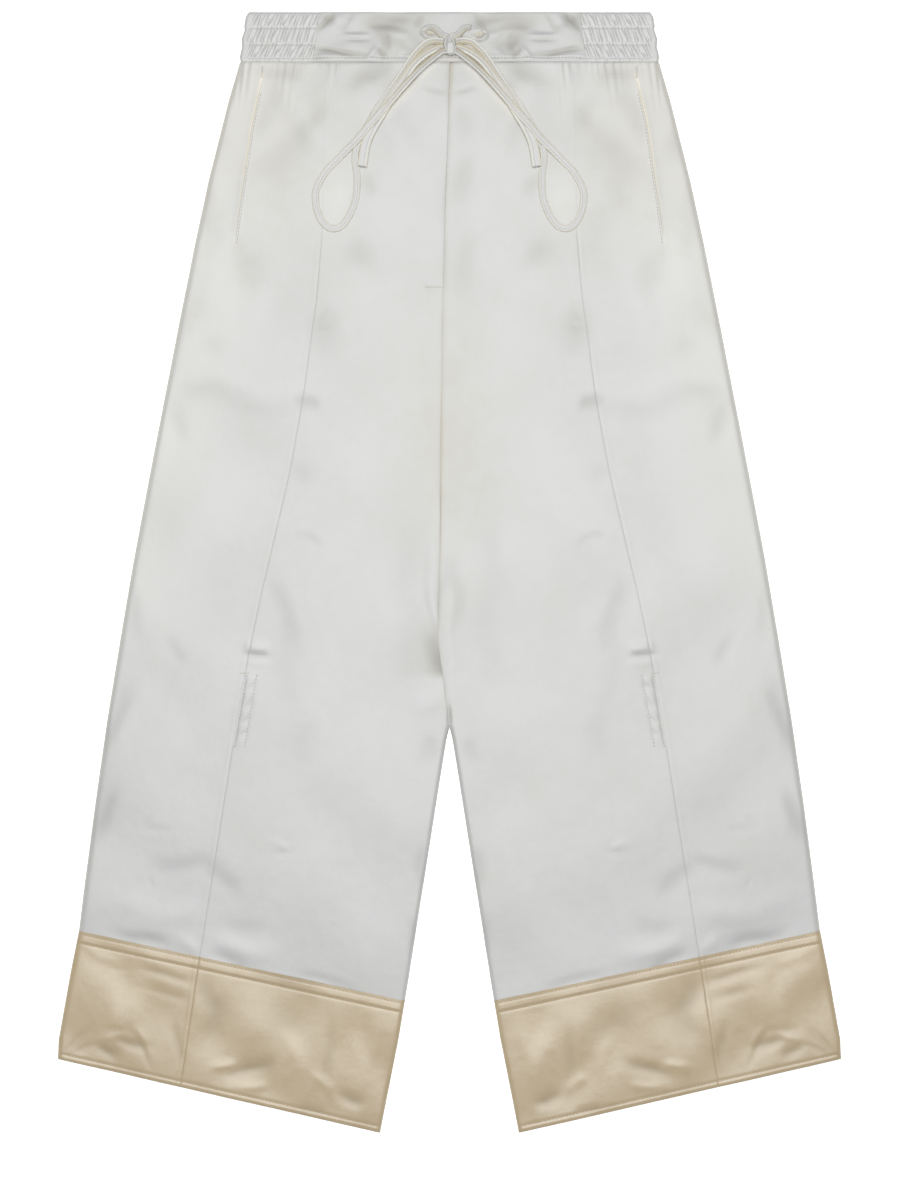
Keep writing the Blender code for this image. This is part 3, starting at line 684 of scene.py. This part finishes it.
for word, side in SIDES:
    for node, band, wall, slot, size in (
            ("back_" + word, LEG_BAND, BACK_WALL, "ivory_satin", (343, 845)),
            ("cuff_back_" + word, CUFF_BAND, CUFF_WALL, "champagne_satin", (312, 182))):
        def place(across, down, side=side, band=band, wall=wall):
            outer, outer_below = leg_place(side, band, np.zeros(len(down)), down)
            inner, inner_below = leg_place(side, band, np.full(len(down), 2.0), down)
            outer = outer - BACK_INSET
            inner = inner + np.where(inner_below > FORK_BELOW, BACK_INSET, HALF_GAP)
            out, below = mix(outer, inner, across), mix(outer_below, inner_below, across)
            return side * out, below, np.full(len(down), wall)

        panel = sheet_of_cloth(node + "_satin", 24, 60, place, [node], None, wall - 0.05, slot)
        declare(panel, *size, ["floor"])

# %% [markdown]
# ## The cuffs
# A cuff is a deep turned-up band in champagne satin. Its top edge is a narrow folded border,
# and its hem is held by one stitched line.

# %% Cuff panels
CUFF_ROWS = 90
CUFF_SIZE = {"outer": (128, 141), "inner": (202, 159)}


def cuff_paint(x, below):
    # Painted shade in the troughs of the cuff's folds.
    return {"painted_shade": 0.28 * shade(CUFF_FOLDS, np.sign(x), np.abs(x), below)}


for word, side in SIDES:
    for part, first, last in PANELS:
        def place(across, down, side=side, first=first, last=last):
            out, below = between_seams(side, CUFF_BAND, first, last, spaced(across), down)
            return side * out, below, cuff_height(side, out, below, down * CUFF_DEPTH)

        node = "cuff_" + part + "_" + word
        panel = sheet_of_cloth(node + "_satin", COLUMN_COUNT[part], CUFF_ROWS, place, [node], cuff_paint,
                               slot="champagne_satin")
        declare(panel, *CUFF_SIZE[part], ["cuff_back_" + word])

# %% [markdown]
# ## The waistband
# The middle is plain and a little crumpled, and its back is flat. The bow shades it and sends
# some light on to it, which the painted values say.

# %% Plain middle of the waistband
BAND_BACK_WALL = 2.0


def band_middle(height):
    def place(across, down):
        below = down * (WAIST_DEPTH - HALF_GAP)
        out = mix(-1.0, 1.0, across) * (reading(BAND_JOIN, below) - HALF_GAP)
        return out, below, height(out, below)
    return place


def band_paint(x, below):
    # Painted shade under the bow, under the tape and in the troughs, with a little painted shade all over,
    # and painted light along the tape.
    under_bow = bell(np.maximum(np.hypot(x - 1.5, below - 36.0) - 6.0, 0.0), 6.0)
    under_tape = bell(distance_to_line(np.abs(x), below, (7.0, 34.5), (25.0, 46.0)), 3.5)
    dim = shade(BAND_FOLDS, 0, np.abs(x), below)
    return {"warm_shade": 0.5 * np.maximum(0.5 * under_bow, under_tape) + 0.35 * dim, "painted_shade": 0.14 + 0.2 * dim,
            "glow": np.maximum(0.08 * under_bow, 0.7 * under_tape)}


band_front = sheet_of_cloth("waistband_front_satin", 230, 80, band_middle(band_height),
                            ["waistband_front"], band_paint)
band_back = sheet_of_cloth("waistband_back_satin", 60, 12,
                           band_middle(lambda out, below: np.full(len(out), BAND_BACK_WALL)),
                           ["waistband_back"], None, BAND_BACK_WALL - 0.1)
declare(band_front, 247, 45, ["waistband_back"])
declare(band_back, 247, 45, ["floor"])

# %% [markdown]
# ## Elastic sides
# Elastic is sewn in while it is stretched, so the cloth bunches up when it shrinks back. Between
# the stitch lines it stands in small leaning gathers, which are uneven and fade at the side,
# where the cloth turns under.

# %% Elastic sides
ELASTIC_HEIGHT = 5.0
GATHERS = 18
CHANNEL_LINES = (0.0, 12.6, 27.5, 41.0, 56.0)
ELASTIC_RISE = 0.8
FRONT_COLUMNS, TURN_COLUMNS, UNDER_COLUMNS, ELASTIC_ROWS = 216, 16, 20, 76


def gathered(on_front, below):
    """Relief of the gathered cloth: narrow leaning valleys between rounded bumps."""
    channel = np.searchsorted(CHANNEL_LINES, below, side="right") - 1
    lines = np.array(CHANNEL_LINES)
    in_channel = (below - lines[channel]) / (lines[channel + 1] - lines[channel])
    puff = np.minimum(2.5 * np.sin(math.pi * in_channel), 1.0)
    lean = np.array([1.0, 0.6, 1.3, 0.4])[channel]
    turns = on_front * GATHERS - lean * in_channel + 0.22 * np.sin(on_front * 23.0 + 2.0 * channel)
    turns += 0.14 * np.sin(on_front * 61.0 + 5.0 * channel)
    uneven = 0.65 + 0.35 * np.sin(on_front * 37.0 + 3.0 * channel + 2.0 * in_channel)
    from_valley = np.abs(turns % 1.0 - 0.5)
    bumps = 1.0 - np.exp(-(from_valley / 0.13) ** 2)
    ribs = sum(0.5 * np.exp(-((below - level) / 1.0) ** 4) - 0.25 * bell(below - level - 1.9, 0.7)
               for level in CHANNEL_LINES[1:-1])
    calm = np.where(below > CHANNEL_LINES[-2], 0.3, 1.0)
    return calm * (0.5 * (puff - 0.8) + ELASTIC_RISE * uneven * puff * (bumps - 0.6)) + ribs


def elastic_place(side):
    """A sheet that lies on top, turns round the side and comes back underneath."""
    radius = ELASTIC_HEIGHT / 2
    turn_column = FRONT_COLUMNS + TURN_COLUMNS

    def place(across, down):
        below = down * (WAIST_DEPTH - HALF_GAP)
        join = reading(BAND_JOIN, below) + HALF_GAP
        turn_start = reading(BAND_SIDE, below) - radius
        column = across * (turn_column + UNDER_COLUMNS)
        on_front = ramp(column, 0, FRONT_COLUMNS)
        turning = ramp(column, FRONT_COLUMNS, turn_column)
        under = ramp(column, turn_column, turn_column + UNDER_COLUMNS)
        fade = np.minimum((1.0 - on_front) * 9.0, 1.0)
        angle = math.pi * (0.5 - turning)
        out = mix(join, turn_start, on_front) + radius * np.cos(angle) - (turn_start - join) * under
        height = radius + radius * np.sin(angle) + fade * gathered(on_front, below)
        from_edge = np.maximum(np.minimum(below, WAIST_DEPTH - below), 0.0)
        height -= (1.0 - turning) * 0.6 * np.exp(-from_edge)
        return side * out, below, height

    return place


for word, side in SIDES:
    node = "waistband_elastic_" + word
    panel = sheet_of_cloth(node + "_satin", FRONT_COLUMNS + TURN_COLUMNS + UNDER_COLUMNS, ELASTIC_ROWS,
                           elastic_place(side), [node])
    declare(panel, 200, 45, ["floor"])

# %% [markdown]
# ## Pocket facing
# A second layer of satin lies behind each pocket mouth. The thin brownish line along the mouth is painted
# shade and painted light on the front panel.

# %% Facings
FACING_TOP = 1.8

for word, side in SIDES:
    def place(across, down, side=side):
        out = mix(POCKET[0][0], POCKET[-1][0], down) + mix(2.5, -9.0, across)
        below = mix(POCKET_TOP, POCKET_END + 3.5, down)
        return side * out, below, np.full(len(out), FACING_TOP)

    node = "pocket_facing_" + word
    panel = sheet_of_cloth(node + "_satin", 6, 60, place, [node])
    declare(panel, 32, 156, ["back_" + word])

# %% [markdown]
# ## The drawstring
# A flat satin tape comes out of each buttonhole, goes into the knot, makes one long loop and
# ends in a short tail. The routes are those of the solids, with a level for what lies on what.

# %% Tape routes
# out from the centre line, below, level: how many tapes it lies on
ROOT_ROUTE = ((19.5, 14.6, -0.9), (16.5, 14.2, -0.4), (13.5, 14.8, 0.0), (10.5, 17.6, 0.3), (7.4, 21.2, 0.6))
LOOP_ROUTE = rows_of("""
    4.9 22.4 0.8; -0.5 25 1; -2.2 30 1.5; 0 34.4 2; 4.9 35.6 2; 7.4 36.2 2; 16.2 42.8 2; 26.6 51.8 2;
    34.7 59.9 2; 45.5 72 2; 55.4 83.7 2; 63.9 93.6 2; 72.9 103.5 2; 82.4 114.7 1.4; 92.8 124.7 0.5;
    102.4 134.5 0; 109.9 141.9 0; 115.9 150.9 0; 119.6 158.4 0; 120.8 165.8 0; 120.3 173.3 0;
    118.2 181.4 0; 114.4 189 0; 108.5 194.1 0; 102.4 194.9 0; 96.5 192 0; 91.4 185.2 0; 87.6 177.8 0;
    84.5 168.8 0; 83.4 159.1 0; 83.1 149.4 0; 84.2 140.4 0; 85 133 0; 84.5 125.6 0; 82.4 118.1 0;
    75.6 105.3 0; 64.4 86 0; 50.4 66.6 0; 43.7 56.7 0; 34.7 43.2 0; 29.7 36.5 0; 20.3 27.9 0.2;
    12.2 26.3 0.5; 7.4 27 0.8; 4.9 27.2 1
""")
TAIL_ROUTE = rows_of("""
    4.9 31.4 1.2; 7.4 31.6 1.1; 15.8 34.7 1; 25.7 41 1; 34.2 49.5 1; 41.9 61.2 1; 51.8 76.5 1;
    60.8 91.4 1; 68.9 104.4 1; 75.2 118.8 1; 78.8 139.5 0.8
""")


def smooth_route(route, step):
    """Evenly spaced points on a smooth curve through a route's own points."""
    points = [np.array(point, dtype=float) for point in route]
    points = [2 * points[0] - points[1]] + points + [2 * points[-1] - points[-2]]
    fine = []
    for before, start, end, after in zip(points, points[1:], points[2:], points[3:]):
        for share in np.linspace(0.0, 1.0, 12, endpoint=False):
            fine.append(0.5 * (2 * start + (end - before) * share
                               + (2 * before - 5 * start + 4 * end - after) * share ** 2
                               + (3 * start - before - 3 * end + after) * share ** 3))
    fine.append(points[-2])
    fine = np.array(fine)
    lengths = np.concatenate([[0.0], np.cumsum(np.linalg.norm(np.diff(fine[:, :2], axis=0), axis=1))])
    even = np.linspace(0.0, lengths[-1], round(lengths[-1] / step) + 1)
    return np.stack([np.interp(even, lengths, fine[:, axis]) for axis in range(3)], axis=1)


print("The loop's route has", len(LOOP_ROUTE), "points and the tail's has", len(TAIL_ROUTE))

# %% [markdown]
# ## Laying the tape
# The tape lies on the highest cloth under it, smoothed a little, and higher by its level. Its
# section is a flat ring with rounded edges and a groove on top, and it may lean to one side.

# %% The tape
TAPE_THICKNESS = 2.0
TAPE_LEVEL = 1.7
LOOP_WIDTH = 6.0
TAIL_WIDTH = 8.6
AROUND = 28


def tape_path(side, route, step=1.6):
    """A tape's middle line in metres: it lies on the highest cloth under it."""
    out, below, level = smooth_route(route, step).T
    spots = [(dx, dy) for dx in (-2.5, 0, 2.5) for dy in (-2.5, 0, 2.5)]
    highest = np.max([cloth_top(side, out + dx, below + dy) for dx, dy in spots], axis=0)
    steady = np.convolve(np.pad(highest, 6, mode="edge"), np.ones(13) / 13, mode="valid")
    height = np.maximum(steady, highest - 0.3) + TAPE_THICKNESS / 2 + level * TAPE_LEVEL
    return points_at(side * out, below, height)


def rounded(value, power):
    """Keeps the sign and raises the size to a power, which squares off a circle."""
    return math.copysign(abs(value) ** power, value)


def tape(name, path, widths, tilt, shade_along, lit, nodes):
    """A flat tape along a path, turned by tilt. The two values before nodes are the painted shade and the
    painted edge light along it.
    """
    bm = bmesh.new()
    bmesh.ops.create_grid(bm, x_segments=AROUND, y_segments=len(path) - 1, size=0.5)
    heading = np.gradient(path, axis=0)
    heading /= np.linalg.norm(heading, axis=1)[:, None]
    sideways = np.cross(heading, [0.0, 0.0, 1.0])
    sideways /= np.linalg.norm(sideways, axis=1)[:, None]
    upwards = np.cross(sideways, heading)
    warm_shade, glow = bm.verts.layers.float.new("warm_shade"), bm.verts.layers.float.new("glow")
    for vert in bm.verts:
        angle = 2 * math.pi * (vert.co.x + 0.5)
        row = round((vert.co.y + 0.5) * (len(path) - 1))
        reach, rise = rounded(math.cos(angle), 0.8), rounded(math.sin(angle), 0.8)
        groove = 0.55 * math.exp(-(reach / 0.24) ** 2) * (rise > 0)
        lift = rise * TAPE_THICKNESS / 2 - groove + tilt[row] * reach * widths[row] / 2
        vert.co = Vector(path[row] + (sideways[row] * reach * widths[row] / 2 + upwards[row] * lift) * MM)
        # Painted shade on the tape's lower half and painted light along both edges.
        lower_half = max(0.0, min(1.0, 0.5 - 1.2 * reach * (1 if tilt[row] >= 0 else -1)))
        vert[warm_shade] = shade_along[row] * lower_half
        vert[glow] = lit[row] * math.exp(-((abs(reach) - 1.0) / 0.25) ** 2)
    bmesh.ops.remove_doubles(bm, verts=bm.verts, dist=1e-6)
    bmesh.ops.holes_fill(bm, edges=[edge for edge in bm.edges if edge.is_boundary])
    bmesh.ops.recalc_face_normals(bm, faces=bm.faces)
    mesh = mesh_from(bm, name)
    paint(mesh)
    return dress(name, mesh, nodes)


def path_length(path):
    return float(np.linalg.norm(np.diff(path, axis=0), axis=1).sum())


print("The tape is", LOOP_WIDTH, "mm wide and its tails are", TAIL_WIDTH, "mm wide")

# %% [markdown]
# ## The knot
# One narrow band crosses over the strands and widens to a small block under them. It is a ball
# that is pulled along, and two tables say how wide it is and how far it stands to the right.

# %% The knot
KNOT_BELOW = 30.6
KNOT_LENGTH = 18.5
KNOT_HEIGHT = 6.9
KNOT_WIDTHS = ((0.0, 2.0), (0.15, 3.4), (0.36, 4.8), (0.46, 8.2), (0.58, 9.4), (0.88, 9.4), (1.0, 8.4))
KNOT_LEAN = ((0.0, -1.4), (0.45, 0.8), (0.55, 1.2), (1.0, 1.4))

bm = bmesh.new()
bmesh.ops.create_uvsphere(bm, u_segments=48, v_segments=40, radius=0.5)
for vert in bm.verts:
    down = 0.5 - vert.co.y
    width, lean = reading(KNOT_WIDTHS, down), reading(KNOT_LEAN, down)
    full = 0.5 * min(1.0, 3.0 * math.hypot(vert.co.x, vert.co.z)) ** 0.5
    angle = math.atan2(vert.co.x, vert.co.z)
    crease = 1.0 + 0.05 * math.cos(7 * angle + 6 * down)
    aside = rounded(math.sin(angle), 0.8) * full * crease
    rise = rounded(math.cos(angle), 0.45) * full * crease
    height = BAND_TOP + KNOT_HEIGHT * (0.5 + rise * min(1.0, 0.55 + 0.07 * width))
    below = KNOT_BELOW + (down - 0.5) * KNOT_LENGTH
    vert.co = Vector((lean + aside * width, LENGTH / 2 - below, height)) * MM
bmesh.ops.recalc_face_normals(bm, faces=bm.faces)
knot_mesh = mesh_from(bm, "drawstring_knot_satin")
paint(knot_mesh)
knot = dress("drawstring_knot_satin", knot_mesh, ["drawstring_knot"])
print("The knot is", KNOT_LENGTH, "mm long")

# %% [markdown]
# ## The bow
# Each side has one long piece, out of its buttonhole, through the knot, round the loop and back,
# and one short tail. Tables along the tape, from 0 at its start to 1 at its end, say where it
# leans, where the bow's shade is painted on it, and where painted light brightens its edges.

# %% The bow
LOOP_TURN = ((0.0, 0.0), (0.07, 0.35), (0.16, 0.2), (0.25, 0.0), (0.8, 0.0), (0.92, 0.2), (1.0, 0.3))
# Painted shade and painted edge light along the tapes.
LOOP_SHADE = ((0.0, 0.5), (0.1, 1.0), (0.2, 0.6), (0.3, 0.0), (0.75, 0.1), (0.85, 0.6), (0.98, 1.2))
LOOP_LIT = ((0.0, 0.2), (0.14, 0.2), (0.2, 1.0), (0.97, 1.0), (1.0, 0.3))
TAIL_WIDTHS = ((0.0, 6.0), (0.15, 7.0), (0.5, 8.0), (1.0, TAIL_WIDTH))
TAIL_SHADE = ((0.0, 1.0), (0.3, 0.7), (0.5, 0.0), (1.0, 0.0))
EDGE_LIGHT = 0.75

for word, side in SIDES:
    path = tape_path(side, ROOT_ROUTE + LOOP_ROUTE)
    share = np.linspace(0.0, 1.0, len(path))
    loop = tape("drawstring_loop_" + word + "_tape", path, np.full(len(path), LOOP_WIDTH),
                side * reading(LOOP_TURN, share), reading(LOOP_SHADE, share),
                EDGE_LIGHT * reading(LOOP_LIT, share),
                ["drawstring_root_" + word, "drawstring_loop_" + word])
    print(loop.name, round(path_length(path) / MM), "mm long")
    path = tape_path(side, TAIL_ROUTE)
    share = np.linspace(0.0, 1.0, len(path))
    tail = tape("drawstring_tail_" + word + "_tape", path, reading(TAIL_WIDTHS, share),
                side * 0.1 * (1.0 - share), reading(TAIL_SHADE, share),
                EDGE_LIGHT * np.minimum(share / 0.1 + 0.3, 1.0), ["drawstring_tail_" + word])
    print(tail.name, round(path_length(path) / MM), "mm long")

# %% [markdown]
# ## Buttonholes
# The tape leaves the waistband through two worked holes, and the satin round them is pushed up
# into a small dished frill.

# %% Frills at the buttonholes
# word, middle x and below, half width and half depth
FRILLS = (("left", -16.8, 18.0, 10.5, 7.0), ("right", 26.6, 20.2, 9.5, 7.0))
FRILL_CLOTH = 0.3
FRILL_LIP = 1.5

for word, x_middle, below_middle, half_width, half_depth in FRILLS:
    def place(across, down, middle=(x_middle, below_middle), half=(half_width, half_depth)):
        u, v = 2 * across - 1, 2 * down - 1
        u_round, v_round = u * np.sqrt(1 - 0.5 * v * v), v * np.sqrt(1 - 0.5 * u * u)
        x, below = middle[0] + half[0] * u_round, middle[1] + half[1] * v_round
        turn = np.arctan2(v, u * np.sign(middle[0]))
        uneven = (0.55 + 0.45 * np.cos(turn - 0.5)) * (0.85 + 0.15 * np.sin(5 * turn))
        lip = FRILL_LIP * bell(np.hypot(u_round, v_round) - 0.66, 0.26) * uneven
        return x, below, band_height(x, below) + FRILL_CLOTH + 0.02 + lip

    # Painted brownish shade in the dish of the frill.
    def shaded(x, below, middle=(x_middle, below_middle), half=(half_width, half_depth)):
        return {"warm_shade": 0.9 * bell(np.hypot((x - middle[0]) / half[0], (below - middle[1]) / half[1]), 0.5)}

    frill = sheet_of_cloth("buttonhole_frill_" + word, 36, 30, place, (), shaded, FRILL_CLOTH)
    declare(frill, 2 * half_width, 2 * half_depth, ["waistband_front"])

# %% [markdown]
# ## Stitches
# Every sewn line is a row of short stitches that lie on the cloth. One stitch is a small
# stretched ball, and each row is joined into a single piece.

# %% Rows of stitches
STITCH, STITCH_GAP, THREAD = 2.4, 0.8, 0.42
BALL_FACES = 20


def stitch_row(bm, line, height):
    """Stitches along a line of (x, below) points. height(x, below) gives the cloth."""
    line = np.array(line, dtype=float)
    steps = np.linalg.norm(np.diff(line, axis=0), axis=1)
    along = np.concatenate([[0.0], np.cumsum(steps)])
    starts = np.arange(0.3, along[-1] - STITCH, STITCH + STITCH_GAP)
    ends = [np.stack([np.interp(starts + shift, along, line[:, axis]) for axis in (0, 1)], axis=1)
            for shift in (0.0, STITCH)]
    ends = [points_at(x, below, height(x, below)) for x, below in (end.T for end in ends)]
    for start, end in zip(*ends):
        middle, run = Vector((start + end) / 2), Vector(end - start)
        turn = run.to_track_quat("X", "Z").to_matrix().to_4x4()
        size = Matrix.Diagonal((run.length / 2, THREAD * MM, THREAD * 0.7 * MM, 1.0))
        bmesh.ops.create_icosphere(bm, subdivisions=1, radius=1.0,
                                   matrix=Matrix.Translation(middle) @ turn @ size)


def stitches(name, lines, slot="ivory_satin"):
    """Joins the rows of one kind of sewing into a piece."""
    bm = bmesh.new()
    for line, height in lines:
        stitch_row(bm, line, height)
    mesh = mesh_from(bm, name)
    paint(mesh)
    dress(name, mesh, (), slot)
    print(name, len(mesh.polygons) // BALL_FACES, "stitches")


def cuff_line(side, from_top):
    """A line across a cuff at one distance from its top edge, and the cloth's height there."""
    across = np.linspace(0.02, 1.98, 60)
    out, below = leg_place(side, CUFF_BAND, across, np.full(60, from_top / CUFF_DEPTH))
    return (list(zip(side * out, below)),
            lambda x, y: cuff_height(side, np.abs(x), y, np.full(len(x), from_top)) + 0.05)


def elastic_line(side, below):
    across = np.linspace(0.03, 0.93, 30)
    out = mix(reading(BAND_JOIN, below), reading(BAND_SIDE, below), across)
    return ([(side * value, below) for value in out],
            lambda x, y: ELASTIC_HEIGHT - 0.05 + 0.0 * x)


def band_line(below, reach):
    return ([(x, below) for x in np.linspace(-reach, reach, 60)], lambda x, y: band_height(x, y) + 0.1)


def pocket_line(side):
    return ([(side * (out - 2.4), below) for out, below in POCKET[1:]],
            lambda x, y: front_height(side, np.abs(x), y) + 0.15)


def placket_line(side, inwards):
    below = np.linspace(PLACKET_FROM + 2, PLACKET_TO - 2, 30)
    return (list(zip(side * (reading(LEG_SEAM, below) - inwards), below)),
            lambda x, y: front_height(side, np.abs(x), y) + 0.1)


cuff_rows = [cuff_line(side, level) for word, side in SIDES
             for level in (2.6, CUFF_BORDER_WIDTH + 1.6, CUFF_DEPTH - HEM_STITCHING)]
stitches("cuff_stitches", cuff_rows, "champagne_satin")
band_rows = [band_line(BAND_STITCHING, 121.0)]
band_rows += [elastic_line(side, level) for word, side in SIDES for level in CHANNEL_LINES[1:-1]]
stitches("waistband_stitches", band_rows)
leg_rows = [row for word, side in SIDES for row in
            (pocket_line(side), placket_line(side, 2.0), placket_line(side, PLACKET_WIDTH))]
stitches("leg_stitches", leg_rows)

# %% [markdown]
# ## Bar tacks
# A bar tack is a dense row of short stitches across the end of an opening. It keeps the pocket
# mouths, the fly and the strip at the knee from tearing.

# %% Bar tacks
# middle x, below, direction across (1) or down (0), length, width
BAR_TACKS = (
    (-168.5, 54.0, 0, 10.0, 2.4), (168.5, 54.0, 0, 10.0, 2.4), (-14.0, 247.5, 1, 15.0, 1.6),
    (-184.5, 595.0, 1, 7.0, 1.6), (184.5, 595.0, 1, 7.0, 1.6),
)
TACK_PITCH = 0.9

bm = bmesh.new()
for x_middle, below_middle, across, length, width in BAR_TACKS:
    side = math.copysign(1, x_middle)
    for share in np.linspace(-0.5, 0.5, round(length / TACK_PITCH)):
        x, below = x_middle + share * length * across, below_middle + share * length * (1 - across)
        top = front_height(side, np.array([abs(x)]), np.array([below]))[0]
        spot = Vector((x, LENGTH / 2 - below, top + 0.1)) * MM
        size = Vector((0.4, width / 2, 0.3) if across else (width / 2, 0.4, 0.3)) * MM
        bmesh.ops.create_icosphere(bm, subdivisions=1, radius=1.0,
                                   matrix=Matrix.Translation(spot) @ Matrix.Diagonal((*size, 1.0)))
mesh = mesh_from(bm, "bar_tacks")
# Painted light makes the tacks paler.
paint(mesh, glow=np.full(len(mesh.vertices), 0.4))
dress("bar_tacks", mesh)
print(len(BAR_TACKS), "bar tacks")

# %% [markdown]
# ## Floor and light
# The floor is plain white and the light is one large soft box above, with a pale world around
# it. Satin shows its folds by the sheen that the box leaves on the flat parts.

# %% Floor, light and world
bm = bmesh.new()
bmesh.ops.create_grid(bm, x_segments=1, y_segments=1, size=6.0)
floor_mesh = mesh_from(bm, "floor")
floor = bpy.data.objects.new("floor", floor_mesh)
bpy.context.scene.collection.objects.link(floor)
floor_finish = Finish("plain white floor").set(
    Base_Color=(0.95, 0.95, 0.95), Roughness=0.9, Specular_IOR_Level=0.0,
    Emission_Color=(1.0, 1.0, 1.0), Emission_Strength=0.55)
floor_mesh.materials.append(floor_finish.material)

LIGHT_COLOUR = (0.885, 0.93, 1.0)
LAMP_POWER = 66.5
LAMP_PLACE = Vector((0.0, 0.3, 2.4))
SKY_STRENGTH = 0.26

lamp_data = bpy.data.lights.new("soft_box", "AREA")
lamp_data.shape, lamp_data.size, lamp_data.size_y = "RECTANGLE", 1.6, 2.0
lamp_data.energy, lamp_data.color = LAMP_POWER, LIGHT_COLOUR
lamp = bpy.data.objects.new("soft_box", lamp_data)
lamp.location = LAMP_PLACE
lamp.rotation_euler = LAMP_PLACE.to_track_quat("Z", "Y").to_euler()
bpy.context.scene.collection.objects.link(lamp)
world = bpy.data.worlds.new("studio")
world.use_nodes = True
sky = world.node_tree.nodes["Background"].inputs
sky["Color"].default_value, sky["Strength"].default_value = (*LIGHT_COLOUR, 1.0), SKY_STRENGTH
bpy.context.scene.world = world
bpy.context.scene.view_settings.view_transform = "Standard"
print("One soft box and a pale world")
